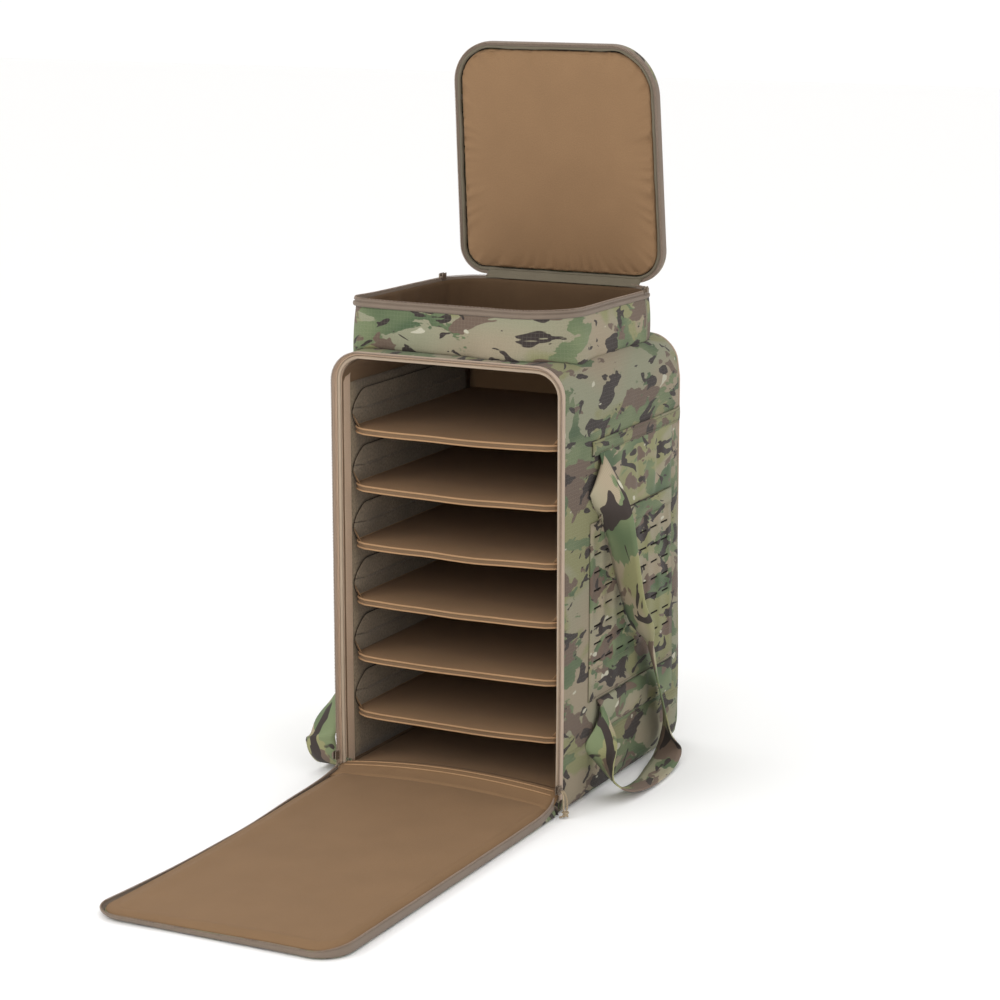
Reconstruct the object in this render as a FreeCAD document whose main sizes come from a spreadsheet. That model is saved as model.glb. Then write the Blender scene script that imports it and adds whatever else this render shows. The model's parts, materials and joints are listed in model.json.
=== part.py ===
import FreeCAD, Part
import math
import os
import Sketcher
from FreeCAD import Placement, Rotation, Vector

# A tall soft case for small quadcopters. Frame: +X right, +Y back, +Z up, millimetres, with the
# origin in the middle of the base. The front panel lies open on the ground in front of the case
# and the lid of the top compartment stands up at its rear edge.

doc = FreeCAD.newDocument("DroneCase")
sheet = doc.addObject("Spreadsheet::Sheet", "Dimensions")

DIMENSIONS = {
    # main body
    "body_width": 354,
    "body_depth": 396,
    "body_height": 622,
    "shoulder_radius": 42,
    "inner_corner": 12,
    "skin": 1.5,
    "wall_foam": 8.5,
    "lining": 1.5,
    "base_skin": 2,
    "board": 3,
    "floor_level": 24,
    # zips
    "tape": 0.8,
    "lip_depth": 10,
    "coil": 2.4,
    "coil_gap": 1.6,
    "rim_radius": 28,
    # front panel
    "hinge_level": 20,
    "panel_level": 18,
    "panel_start": 3,
    # shelves
    "shelf_first": 97,
    "shelf_pitch": 82,
    "shelf_thick": 8,
    "shelf_front": 182,
    "shelf_back": 180,
    "wing_rise": 50,
    "wing_thick": 2.5,
    "shelf_gap": 0.7,
    # top compartment and its lid
    "tier_width": 336,
    "tier_depth": 336,
    "tier_centre": -3,
    "tier_radius": 50,
    "tier_rim": 684,
    "tier_foam": 5,
    "lid_lip": 4,
    "lid_thick": 18,
    "lid_open_angle": 85,
    # webbing
    "webbing": 48,
    "webbing_thick": 3,
    "panel_front": 124,
    "panel_back": 154,
    "panel_base": 140,
    "panel_head": 394,
    "slot_length": 24,
    "slot_height": 3,
    "slot_start": 54,
    "row_pitch": 25.4,
    "column_pitch": 38.1,
    "strap_reach": 50,
}


def fill_sheet():
    for row, (name, value) in enumerate(DIMENSIONS.items(), start=1):
        sheet.set("A%d" % row, name)
        sheet.set("B%d" % row, str(value))
        sheet.setAlias("B%d" % row, name)
    doc.recompute()


class Size:
    """A length with its number and the sheet formula that gives it."""

    def __init__(self, number, formula):
        self.number = number
        self.formula = formula

    def __add__(self, other):
        other = as_size(other)
        return Size(self.number + other.number, "(%s + %s)" % (self.formula, other.formula))

    def __sub__(self, other):
        other = as_size(other)
        return Size(self.number - other.number, "(%s - %s)" % (self.formula, other.formula))

    def __mul__(self, factor):
        return Size(self.number * factor, "(%s * %s)" % (self.formula, factor))

    def __neg__(self):
        return Size(-self.number, "(0 - %s)" % self.formula)

    def __radd__(self, other):
        return as_size(other) + self


def as_size(value):
    if isinstance(value, Size):
        return value
    return Size(float(value), "(%s)" % float(value))


def dim(name):
    return Size(float(DIMENSIONS[name]), "Dimensions.%s" % name)


def bind(item, path, size):
    item.setExpression(path, as_size(size).formula)


# ---------------------------------------------------------------- drawing helpers

def plane_sketch(body, plane, offset):
    """A sketch on one of the body's own origin planes, offset along the world axis."""
    sketch = body.newObject("Sketcher::SketchObject", body.Name + "_sketch")
    role = plane + "_Plane"
    support = [feature for feature in body.Origin.OriginFeatures if feature.Role == role][0]
    sketch.AttachmentSupport = [(support, "")]
    sketch.MapMode = "FlatFace"
    along = -as_size(offset) if plane == "XZ" else as_size(offset)
    bind(sketch, "AttachmentOffset.Base.z", along)
    return sketch


def constrain(sketch, kind, where, size):
    """Hold one end of a line at a signed distance from the sketch's axes."""
    index = sketch.addConstraint(Sketcher.Constraint(kind, -1, 1, where[0], where[1], size.number))
    bind(sketch, "Constraints[%d]" % index, size)


def unit(first, second):
    along = second - first
    return along.multiply(1.0 / along.Length)


def outline(*corners):
    """A closed outline of level and upright sides: corners are (x, y) or (x, y, radius)."""
    def draw(sketch):
        spots = [Vector(as_size(c[0]).number, as_size(c[1]).number, 0) for c in corners]
        radii = [as_size(c[2]) if len(c) > 2 else None for c in corners]
        count = len(corners)
        starts = []
        ends = []
        arcs = []
        for i in range(count):
            into = unit(spots[i - 1], spots[i])
            out = unit(spots[i], spots[(i + 1) % count])
            reach = radii[i].number if radii[i] else 0.0
            ends.append(spots[i] - into * reach)
            starts.append(spots[i] + out * reach)
            centre = spots[i] - into * reach + out * reach
            left_turn = into.x * out.y - into.y * out.x > 0
            arcs.append((centre, reach, left_turn))
        lines = []
        for i in range(count):
            following = (i + 1) % count
            line = sketch.addGeometry(Part.LineSegment(starts[i], ends[following]))
            upright = abs(spots[i].x - spots[following].x) < 1e-6
            sketch.addConstraint(Sketcher.Constraint("Vertical" if upright else "Horizontal", line))
            kind = "DistanceX" if upright else "DistanceY"
            constrain(sketch, kind, (line, 1), as_size(corners[i][0 if upright else 1]))
            lines.append(line)
        for i in range(count):
            before = lines[i - 1]
            after = lines[i]
            centre, reach, left_turn = arcs[i]
            if not reach:
                sketch.addConstraint(Sketcher.Constraint("Coincident", before, 2, after, 1))
                continue
            first, last = (ends[i], starts[i]) if left_turn else (starts[i], ends[i])
            turn = [math.atan2(p.y - centre.y, p.x - centre.x) for p in (first, last)]
            circle = Part.Circle(centre, Vector(0, 0, 1), reach)
            arc = sketch.addGeometry(Part.ArcOfCircle(circle, turn[0], turn[1]))
            near, far = (1, 2) if left_turn else (2, 1)
            sketch.addConstraint(Sketcher.Constraint("Tangent", before, 2, arc, near))
            sketch.addConstraint(Sketcher.Constraint("Tangent", arc, far, after, 1))
            index = sketch.addConstraint(Sketcher.Constraint("Radius", arc, reach))
            bind(sketch, "Constraints[%d]" % index, radii[i])
    return draw


def polygon(*corners):
    """A closed outline of straight sides at any angle: every corner is held in x and y."""
    def draw(sketch):
        spots = [Vector(as_size(x).number, as_size(y).number, 0) for x, y in corners]
        lines = []
        for i, spot in enumerate(spots):
            lines.append(sketch.addGeometry(Part.LineSegment(spot, spots[(i + 1) % len(spots)])))
        for i, (x, y) in enumerate(corners):
            sketch.addConstraint(Sketcher.Constraint("Coincident", lines[i - 1], 2, lines[i], 1))
            constrain(sketch, "DistanceX", (lines[i], 1), as_size(x))
            constrain(sketch, "DistanceY", (lines[i], 1), as_size(y))
    return draw


def rectangle(low_x, high_x, low_y, high_y, radius=None):
    tail = (radius,) if radius is not None else ()
    return outline(
        (low_x, low_y) + tail,
        (high_x, low_y) + tail,
        (high_x, high_y) + tail,
        (low_x, high_y) + tail,
    )


def arch(half, far, radius, base, wall):
    """A strip of one thickness along a left side, a far side and a right side."""
    inner = half - wall
    toward = wall if as_size(far).number > as_size(base).number else -as_size(wall)
    far_inner = far - toward
    return arch_between(half, far, radius, inner, far_inner, radius - wall, base)


def arch_between(half, far, radius, inner, far_inner, inner_radius, base):
    return outline(
        (-as_size(half), base),
        (-as_size(inner), base),
        (-as_size(inner), far_inner, inner_radius),
        (inner, far_inner, inner_radius),
        (inner, base),
        (half, base),
        (half, far, radius),
        (-as_size(half), far, radius),
    )


def horseshoe(half, front, back, radius, gap_half, wall):
    """A strip of one thickness round four corners, open in the middle of its rear side."""
    inner = half - wall
    front_inner = front + wall
    back_inner = back - wall
    inner_radius = radius - wall
    return outline(
        (-gap_half, back),
        (-half, back, radius),
        (-half, front, radius),
        (half, front, radius),
        (half, back, radius),
        (gap_half, back),
        (gap_half, back_inner),
        (inner, back_inner, inner_radius),
        (inner, front_inner, inner_radius),
        (-inner, front_inner, inner_radius),
        (-inner, back_inner, inner_radius),
        (-gap_half, back_inner),
    )


def door(half, far, radius, base):
    """A filled outline with two square corners at its base and two round ones at its far side."""
    return outline(
        (-as_size(half), base),
        (half, base),
        (half, far, radius),
        (-as_size(half), far, radius),
    )


def pad_on(body, sketch, length, plane):
    pad = body.newObject("PartDesign::Pad", body.Name + "_pad")
    pad.Profile = sketch
    bind(pad, "Length", length)
    pad.Reversed = plane == "XZ"
    return pad


def prism(label, plane, start, stop, *outlines):
    """A body padded from start to stop along the axis square to the plane."""
    body = doc.addObject("PartDesign::Body", label)
    sketch = plane_sketch(body, plane, start)
    for draw in outlines:
        draw(sketch)
    pad_on(body, sketch, as_size(stop) - start, plane)
    return body


def mirror_x(body):
    """Repeat the body's last pad on the other side of the middle plane."""
    doc.recompute()
    pair = body.newObject("PartDesign::Mirrored", body.Name + "_pair")
    pair.Originals = [body.Tip]
    middle = [f for f in body.Origin.OriginFeatures if f.Role == "YZ_Plane"][0]
    pair.MirrorPlane = (middle, [""])
    body.Tip = pair


def dish(label, low, floor, high, filled, rim):
    """A shell with a flat bottom and an upright rim, padded upwards in two steps."""
    body = prism(label, "XY", low, floor, filled)
    wall = plane_sketch(body, "XY", floor)
    rim(wall)
    pad_on(body, wall, as_size(high) - floor, "XY")
    return body


def board(label, low, high):
    """A plain rectangular piece between two opposite corners."""
    box = doc.addObject("Part::Box", label)
    for side, axis, first, last in zip(("Length", "Width", "Height"), "xyz", low, high):
        bind(box, side, as_size(last) - first)
        bind(box, "Placement.Base.%s" % axis, first)
    return box


def rod(label, centre_y, centre_z, radius, half_length):
    """A round bar along X."""
    bar = doc.addObject("Part::Cylinder", label)
    bar.Placement = Placement(Vector(0, 0, 0), Rotation(Vector(0, 1, 0), 90))
    bind(bar, "Radius", radius)
    bind(bar, "Height", as_size(half_length) * 2)
    bind(bar, "Placement.Base.x", -as_size(half_length))
    bind(bar, "Placement.Base.y", centre_y)
    bind(bar, "Placement.Base.z", centre_z)
    return bar


# ---------------------------------------------------------------- derived lengths

fill_sheet()

HALF_WIDTH = dim("body_width") * 0.5
FRONT = -(dim("body_depth") * 0.5)
BACK = dim("body_depth") * 0.5
TOP = dim("body_height")
SHOULDER = dim("shoulder_radius")

# inner faces of the skin, the foam and the lining, from the outside in
FOAM_HALF = HALF_WIDTH - dim("skin")
FOAM_TOP = TOP - dim("skin")
FOAM_RADIUS = SHOULDER - dim("skin")
INNER_HALF = FOAM_HALF - dim("wall_foam")
INNER_TOP = FOAM_TOP - dim("wall_foam")
LINED_HALF = INNER_HALF - dim("lining")
LINED_TOP = INNER_TOP - dim("lining")
FOOT = dim("base_skin")
FLOOR = dim("floor_level")

# front zip: its line runs just inside the edge of the body
ZIP_HALF = HALF_WIDTH - 1
ZIP_TOP = TOP - 1
ZIP_RADIUS = SHOULDER - 1
LIP_FRONT = FRONT - dim("lip_depth")
COIL_FRONT = LIP_FRONT - dim("coil")
HINGE_Y = COIL_FRONT - dim("coil_gap")
HINGE_Z = dim("hinge_level")

# top compartment
TIER_HALF = dim("tier_width") * 0.5
TIER_FRONT = dim("tier_centre") - dim("tier_depth") * 0.5
TIER_BACK = dim("tier_centre") + dim("tier_depth") * 0.5
RIM = dim("tier_rim")


# ---------------------------------------------------------------- main body

def make_base():
    board("bottom_shell", (-FOAM_HALF, FRONT, 0), (FOAM_HALF, BACK, FOOT))
    board(
        "floor_board",
        (-INNER_HALF, FRONT + 8, FOOT),
        (INNER_HALF, BACK - 10, FOOT + dim("board")),
    )
    board(
        "floor_pad",
        (-LINED_HALF, FRONT + 8, FOOT + dim("board")),
        (LINED_HALF, BACK - 12, FLOOR),
    )
    # the sill below the opening, with the tab in front of it that the panel's hinge is sewn to
    sill = outline(
        (FRONT, FOOT),
        (FRONT + 8, FOOT),
        (FRONT + 8, HINGE_Z),
        (HINGE_Y + 2.5, HINGE_Z),
        (HINGE_Y + 2.5, HINGE_Z - dim("skin")),
        (FRONT, HINGE_Z - dim("skin")),
    )
    prism("front_sill", "YZ", -LINED_HALF, LINED_HALF, sill)


def make_walls():
    skin = arch(HALF_WIDTH, TOP, SHOULDER, FOOT, dim("skin"))
    prism("side_wrap_shell", "XZ", FRONT, BACK - dim("skin"), skin)
    foam_back = BACK - dim("skin")
    # the flat boards stop a little before the bend, and the shoulder foam takes over there
    straight = TOP - SHOULDER - 5
    bend = HALF_WIDTH - SHOULDER - 5
    for side, sign in (("left", -1), ("right", 1)):
        near, far = sorted((sign * INNER_HALF.number, sign * FOAM_HALF.number))
        inner, outer = (INNER_HALF, FOAM_HALF) if sign > 0 else (-FOAM_HALF, -INNER_HALF)
        board("wall_foam_" + side, (inner, FRONT + 2, FOOT), (outer, foam_back, straight))
        face, back = (LINED_HALF, INNER_HALF) if sign > 0 else (-INNER_HALF, -LINED_HALF)
        board("loop_lining_" + side, (face, FRONT + 2, FLOOR), (back, BACK - 12, straight))
    corner = outline(
        (INNER_HALF, straight),
        (FOAM_HALF, straight),
        (FOAM_HALF, FOAM_TOP, FOAM_RADIUS),
        (bend, FOAM_TOP),
        (bend, INNER_TOP),
        (INNER_HALF, INNER_TOP, dim("inner_corner")),
    )
    mirror_x(prism("shoulder_foam", "XZ", FRONT + 2, foam_back, corner))
    board("top_foam", (-bend, FRONT + 2, INNER_TOP), (bend, foam_back, FOAM_TOP))
    board("top_lining", (-bend, FRONT + 2, LINED_TOP), (bend, BACK - 12, INNER_TOP))


def make_back():
    prism("back_shell", "XZ", BACK - dim("skin"), BACK, door(HALF_WIDTH, TOP, SHOULDER, FOOT))
    # the boards behind the lining stop short of the rounded corners of the wall foam
    core = door(INNER_HALF, INNER_TOP, dim("inner_corner"), FOOT)
    prism("back_foam", "XZ", BACK - 10, BACK - dim("skin"), core)
    cover = door(INNER_HALF, INNER_TOP, dim("inner_corner"), FLOOR)
    prism("back_lining", "XZ", BACK - 12, BACK - 10, cover)


def make_front_rim():
    rim = arch_between(
        FOAM_HALF, FOAM_TOP, FOAM_RADIUS, LINED_HALF, LINED_TOP, dim("rim_radius"), FLOOR
    )
    prism("front_rim", "XZ", FRONT, FRONT + 2, rim)
    half_tape = dim("tape") * 0.5
    lip = arch(ZIP_HALF + half_tape, ZIP_TOP + half_tape, ZIP_RADIUS + half_tape, HINGE_Z, dim("tape"))
    prism("body_zip_tape", "XZ", LIP_FRONT, FRONT, lip)
    half_coil = dim("coil") * 0.5
    teeth = arch(ZIP_HALF + half_coil, ZIP_TOP + half_coil, ZIP_RADIUS + half_coil, 22, dim("coil"))
    prism("body_zip_coil", "XZ", COIL_FRONT, LIP_FRONT, teeth)


# ---------------------------------------------------------------- webbing on the sides and back

SLOT_ROWS = 8
SIDE_COLUMNS = 7
BACK_COLUMNS = 6


def repeat(label, sketch, axis, pitch, count):
    """A row of copies along one axis of a sketch, a pitch apart."""
    pattern = doc.addObject("PartDesign::LinearPattern", label)
    pattern.Direction = (sketch, [axis])
    bind(pattern, "Length", pitch * (count - 1))
    pattern.Occurrences = count
    return pattern


def make_webbing_panel(label, plane, start, low, high, columns):
    """A flat panel with rows of slots that pouches lace into, one skin deep."""
    base, head = dim("panel_base"), dim("panel_head")
    body = prism(label, plane, start, start + dim("skin"), rectangle(low, high, base, head))
    doc.recompute()
    slot = plane_sketch(body, plane, start + dim("skin") * 0.5)
    spare = high - low - dim("column_pitch") * (columns - 1) - dim("slot_length")
    left = low + spare * 0.5
    bottom = base + dim("slot_start")
    rectangle(left, left + dim("slot_length"), bottom, bottom + dim("slot_height"))(slot)
    cut = body.newObject("PartDesign::Pocket", label + "_cut")
    cut.Profile = slot
    cut.Type = "ThroughAll"
    cut.Midplane = True
    rows = repeat(label + "_rows", slot, "V_Axis", dim("row_pitch"), SLOT_ROWS)
    across = repeat(label + "_columns", slot, "H_Axis", dim("column_pitch"), columns)
    grid = body.newObject("PartDesign::MultiTransform", label + "_slots")
    grid.Originals = [cut]
    grid.Transformations = [rows, across]
    body.Tip = grid
    return body


STRAP_SPANS = {
    # hanging loops as (y, z) along the middle of the webbing, from the upper to the lower sleeve
    "right": (
        (-98, 455), (-118, 446), (-124, 415), (-86, 348), (20, 200), (88, 100), (112, 48),
        (98, 14), (60, 4), (-40, 4), (-84, 14), (-116, 52), (-124, 92), (-112, 116), (-98, 119),
    ),
    "left": (
        (-98, 455), (-118, 446), (-124, 415), (-86, 348), (6, 200), (64, 100), (84, 48),
        (70, 14), (32, 4), (-130, 4), (-162, 12), (-182, 44), (-180, 86), (-152, 114), (-98, 119),
    ),
}


def ribbon(spots, thick):
    """The flat outline of a band that follows the spots, as a face in the YZ plane."""
    sides = []
    for sign in (1, -1):
        side = []
        for i, spot in enumerate(spots):
            before = spots[max(i - 1, 0)]
            after = spots[min(i + 1, len(spots) - 1)]
            along = Vector(0, after[0] - before[0], after[1] - before[1]).normalize()
            out = Vector(0, -along.z, along.y) * (sign * thick / 2)
            side.append(Vector(0, spot[0], spot[1]) + out)
        sides.append(side)
    loop = sides[0] + sides[1][::-1]
    return Part.Face(Part.makePolygon(loop + loop[:1]))


def make_straps():
    thick = DIMENSIONS["webbing_thick"]
    reach = DIMENSIONS["strap_reach"]
    near = DIMENSIONS["body_width"] / 2 + thick + 1
    for side, spots in STRAP_SPANS.items():
        face = ribbon(spots, thick)
        start = near if side == "right" else -near - reach
        face.translate(Vector(start, 0, 0))
        strap = doc.addObject("Part::Feature", "carry_strap_" + side)
        strap.Shape = face.extrude(Vector(reach, 0, 0))
        strap.Placement = Placement()


def make_side_webbing():
    low = -dim("panel_front")
    high = dim("panel_back")
    thick = dim("webbing_thick")
    for side in ("left", "right"):
        start = HALF_WIDTH if side == "right" else -HALF_WIDTH - dim("skin")
        make_webbing_panel("webbing_panel_" + side, "YZ", start, low, high, SIDE_COLUMNS)
        near = HALF_WIDTH if side == "right" else -HALF_WIDTH - thick
        # the straps run through these sleeves, which are two bands high above and one below
        board("upper_sleeve_" + side, (near, -96, 396), (near + thick, high, 490))
        board("lower_sleeve_" + side, (near, -96, 90), (near + thick, high, 90 + dim("webbing")))


def make_back_webbing():
    half = dim("panel_front")
    make_webbing_panel("webbing_panel_back", "XZ", BACK, -half, half, BACK_COLUMNS)
    handle = polygon(
        (-75, BACK), (-45, BACK), (-45, BACK + 3), (-58, BACK + 3), (-42, BACK + 24),
        (42, BACK + 24), (58, BACK + 3), (45, BACK + 3), (45, BACK), (75, BACK),
        (75, BACK + 3), (46, BACK + 28), (-46, BACK + 28), (-75, BACK + 3),
    )
    prism("haul_handle", "XY", 545, 570, handle)


# ---------------------------------------------------------------- front panel, open on the ground

def make_front_panel():
    near = HINGE_Y - dim("panel_start")
    length = TOP - HINGE_Z
    far = HINGE_Y - length
    level = dim("panel_level")
    edge = HALF_WIDTH
    inner = edge - dim("skin")
    inner_far = far + dim("skin")
    inner_radius = SHOULDER - dim("skin")
    gusset = arch(edge, far, SHOULDER, near, dim("skin"))
    dish("panel_shell", as_size(0), dim("skin"), 13, door(edge, far, SHOULDER, near), gusset)
    core = door(inner, inner_far, inner_radius, near)
    prism("panel_board", "XY", dim("skin"), dim("skin") + dim("board"), core)
    prism("panel_foam", "XY", dim("skin") + dim("board"), 13, core)
    soft_half = inner - 5
    soft_far = inner_far + 5
    crown = door(soft_half, soft_far, inner_radius - 5, near)
    prism("panel_lining", "XY", 13, level, crown)
    zip_far = HINGE_Y - (ZIP_TOP - HINGE_Z)
    half_tape = dim("tape") * 0.5
    half_coil = dim("coil") * 0.5
    tape_top = HINGE_Z - dim("coil")
    tape = arch(ZIP_HALF + half_tape, zip_far - half_tape, ZIP_RADIUS + half_tape, near, dim("tape"))
    prism("panel_zip_tape", "XY", 13, tape_top, tape)
    teeth = arch(ZIP_HALF + half_coil, zip_far - half_coil, ZIP_RADIUS + half_coil, near, dim("coil"))
    prism("panel_zip_coil", "XY", tape_top, HINGE_Z, teeth)
    rod("panel_hinge_welt", HINGE_Y, HINGE_Z, 1.6, LINED_HALF)


# ---------------------------------------------------------------- top compartment

def tier_outline(inset):
    inset = as_size(inset)
    return rectangle(
        -TIER_HALF + inset,
        TIER_HALF - inset,
        TIER_FRONT + inset,
        TIER_BACK - inset,
        dim("tier_radius") - inset,
    )


def tier_ring(label, low, high, outset, wall):
    """A ring round the compartment that sits down over the rounded shoulders of the body."""
    body = prism(label, "XY", low, high, tier_outline(outset), tier_outline(outset + wall))
    doc.recompute()
    if low.number < TOP.number:
        saddle = plane_sketch(body, "XZ", 0)
        door(HALF_WIDTH, TOP, SHOULDER, 500)(saddle)
        cut = body.newObject("PartDesign::Pocket", label + "_saddle")
        cut.Profile = saddle
        cut.Type = "ThroughAll"
        cut.Midplane = True
    return body


def lid_track(width):
    """The line that the lid's zip follows, as a strip of the given width."""
    proud = width * 0.5 - 1
    return horseshoe(
        TIER_HALF + proud,
        TIER_FRONT - proud,
        TIER_BACK + proud,
        dim("tier_radius") + proud,
        TIER_HALF - dim("tier_radius") - 6,
        width,
    )


def make_tier():
    foam_inset = dim("skin")
    lining_inset = dim("skin") + dim("tier_foam")
    tier_ring("tier_shell", TOP - 20, RIM, as_size(0), dim("skin"))
    tier_ring("tier_foam", TOP - 20, RIM, foam_inset, dim("tier_foam"))
    tier_ring("tier_lining", TOP + 3, RIM, lining_inset, dim("lining"))
    prism("tier_floor", "XY", TOP, TOP + 3, tier_outline(lining_inset))
    lip_top = RIM + dim("lid_lip")
    prism("tier_zip_tape", "XY", RIM, lip_top, lid_track(dim("tape")))
    prism("tier_zip_coil", "XY", lip_top, lip_top + dim("coil"), lid_track(dim("coil")))


def make_lid():
    """The lid is laid out shut and then swung up about its hinge."""
    seam = RIM + dim("lid_lip") + dim("coil") + dim("coil_gap")
    tape_low = seam + dim("coil")
    body_low = tape_low + 2
    top = seam + dim("lid_thick")
    skin = dim("skin")
    pieces = [
        prism("lid_zip_coil", "XY", seam, tape_low, lid_track(dim("coil"))),
        prism("lid_zip_tape", "XY", tape_low, body_low, lid_track(dim("tape"))),
        prism("lid_padding", "XY", body_low, top - skin, tier_outline(skin)),
        prism("lid_lining", "XY", body_low - 3, body_low, tier_outline(7)),
    ]
    shell = prism("lid_shell", "XY", body_low, top - skin, tier_outline(0), tier_outline(skin))
    cover = plane_sketch(shell, "XY", top - skin)
    tier_outline(0)(cover)
    pad_on(shell, cover, skin, "XY")
    pieces.append(shell)
    hinge_y = TIER_BACK + 1.5
    swing = Rotation(Vector(1, 0, 0), -DIMENSIONS["lid_open_angle"])
    centre = Vector(0, hinge_y.number, seam.number)
    for piece in pieces:
        piece.Placement = Placement(Vector(0, 0, 0), swing, centre)
    rod("lid_hinge_welt", hinge_y, seam, 1.5, TIER_HALF - dim("tier_radius") - 10)


# ---------------------------------------------------------------- shelves

SHELF_COUNT = 6


def make_shelf(number):
    """A padded shelf whose two upturned wings grip the loop lining of the walls."""
    middle = dim("shelf_first") + dim("shelf_pitch") * (number - 1)
    low = middle - dim("shelf_thick") * 0.5
    high = middle + dim("shelf_thick") * 0.5
    half = LINED_HALF - dim("shelf_gap")
    front = -dim("shelf_front")
    back = dim("shelf_back")
    plate = rectangle(-half, half, front, back, 16)
    body = prism("shelf_%d" % number, "XY", low, high, plate)
    doc.recompute()
    wing = plane_sketch(body, "YZ", half - dim("wing_thick"))
    head = high + dim("wing_rise")
    polygon(
        (front + 18, high - 2), (back - 18, high - 2), (back - 18, head), (front + 46, head),
        (front + 18, high + 22),
    )(wing)
    pad_on(body, wing, dim("wing_thick"), "YZ")
    mirror_x(body)


# ---------------------------------------------------------------- zip sliders and the pull cord

def i_section(across, along):
    """Two plates astride the coils with a web in the gap between them, seen along the track."""
    gap = 1.6
    plate = 1.2
    arm = 4.8
    web = 0.5
    spots = [
        (gap, -arm), (gap + plate, -arm), (gap + plate, arm), (gap, arm), (gap, web),
        (-gap, web), (-gap, arm), (-gap - plate, arm), (-gap - plate, -arm), (-gap, -arm),
        (-gap, -web), (gap, -web),
    ]
    return outline(*[(across + a, along + b) for a, b in spots])


SLIDER_LENGTH = 12
FRONT_SLIDER_LOW = 32
LID_SLIDER_BACK = 108
PLATE_FACE = 2.8
BAIL_RISE = 2.6
BAIL_HALF = 3.2


def make_slider(label, plane, low, across, along, sign):
    """A slider astride the two coils, with the bail for its puller on the outer plate."""
    body = prism(label, plane, low, low + SLIDER_LENGTH, i_section(across, along))
    bail = plane_sketch(body, plane, low + 3)
    root = across + PLATE_FACE * sign - 0.2 * sign
    tip = across + (PLATE_FACE + BAIL_RISE) * sign
    rectangle(root, tip, along - BAIL_HALF, along + BAIL_HALF)(bail)
    pad_on(body, bail, SLIDER_LENGTH - 6, plane)


def make_sliders():
    between_coils = COIL_FRONT - dim("coil_gap") * 0.5
    gap_level = RIM + dim("lid_lip") + dim("coil") + dim("coil_gap") * 0.5
    for side, sign in (("left", -1), ("right", 1)):
        front_track = ZIP_HALF * sign
        make_slider("zip_slider_" + side, "XY", FRONT_SLIDER_LOW, front_track, between_coils, sign)
        lid_line = (TIER_HALF - 1) * sign
        low = LID_SLIDER_BACK - SLIDER_LENGTH
        make_slider("lid_slider_" + side, "XZ", low, lid_line, gap_level, sign)


CORD_DIAMETER = 2.4
# doubled cord: out of the slider, down to the knot, and back up to the slider
CORD_ROUTE = (
    (181.4, -212.9, 38.0), (184.9, -213.9, 35.2), (186.6, -216.6, 26.0), (187.0, -217.4, 15.6),
    (187.0, -214.0, 8.0), (187.4, -209.8, 8.2), (187.8, -206.6, 15.4), (187.0, -207.2, 25.4),
    (185.2, -209.0, 34.6), (181.4, -209.5, 38.0),
)
KNOT_CENTRE = Vector(187.2, -211.9, 6.4)
KNOT_RADIUS = 5.4


def rounded_path(route):
    """Straight runs joined by tangent arcs, each as large as its two runs allow."""
    spots = [Vector(*spot) for spot in route]
    edges = []
    start = spots[0]
    for before, corner, after in zip(spots, spots[1:], spots[2:]):
        into = (corner - before).normalize()
        out = (after - corner).normalize()
        turn = into.getAngle(out)
        cut = 0.45 * min((corner - before).Length, (after - corner).Length)
        print("cord radius", round(cut / math.tan(turn / 2), 1), "turn", round(math.degrees(turn)))
        first = corner - into * cut
        last = corner + out * cut
        sag = (first + last) * 0.5
        rise = (corner - sag).normalize()
        radius = cut / math.tan(turn / 2)
        apex = corner - rise * (radius / math.cos(turn / 2) - radius)
        edges.append(Part.LineSegment(start, first).toShape())
        edges.append(Part.Arc(first, apex, last).toShape())
        start = last
    edges.append(Part.LineSegment(start, spots[-1]).toShape())
    return Part.Wire(edges)


def make_pull_cord():
    path = rounded_path(CORD_ROUTE)
    heading = Vector(*CORD_ROUTE[1]) - Vector(*CORD_ROUTE[0])
    section = Part.Wire(Part.makeCircle(CORD_DIAMETER / 2, Vector(*CORD_ROUTE[0]), heading))
    tube = path.makePipeShell([section], True, False)
    exact = math.pi * CORD_DIAMETER ** 2 / 4 * path.Length
    print("cord length", round(path.Length, 1), "volume ratio", round(tube.Volume / exact, 4))
    cord = doc.addObject("Part::Feature", "pull_cord")
    cord.Shape = tube
    cord.Placement = Placement()
    knot = doc.addObject("Part::Sphere", "pull_knot")
    knot.Radius = KNOT_RADIUS
    knot.Placement = Placement(KNOT_CENTRE, Rotation())


# ---------------------------------------------------------------- build, check and write

def is_sub_part(item):
    kinds = ("PartDesign::Body", "Part::Box", "Part::Cylinder", "Part::Sphere", "Part::Feature")
    return item.TypeId in kinds


def write_parts():
    doc.recompute()
    for item in doc.Objects:
        faults = [state for state in item.State if state in ("Invalid", "Error")]
        if faults:
            raise RuntimeError("%s is %s" % (item.Name, faults))
    os.makedirs("parts", exist_ok=True)
    sub_parts = [item for item in doc.Objects if is_sub_part(item)]
    for item in sub_parts:
        if item.Shape.isNull() or not item.Shape.isValid() or not item.Shape.Solids:
            raise RuntimeError("%s has no valid solid" % item.Name)
    for item in sub_parts:
        item.Shape.exportStep("parts/%s.step" % item.Label)
    print(len(sub_parts), "sub-parts written")


make_base()
make_walls()
make_back()
make_front_rim()
make_side_webbing()
make_back_webbing()
make_straps()
make_front_panel()
make_tier()
make_lid()
for shelf_number in range(1, SHELF_COUNT + 1):
    make_shelf(shelf_number)
make_sliders()
make_pull_cord()
write_parts()
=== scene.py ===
import json
from functools import partial
from math import atan2, copysign, cos, dist, exp, pi, radians, sin, sqrt, tau

import bmesh
import bpy
from mathutils import Matrix, Vector, noise


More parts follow.
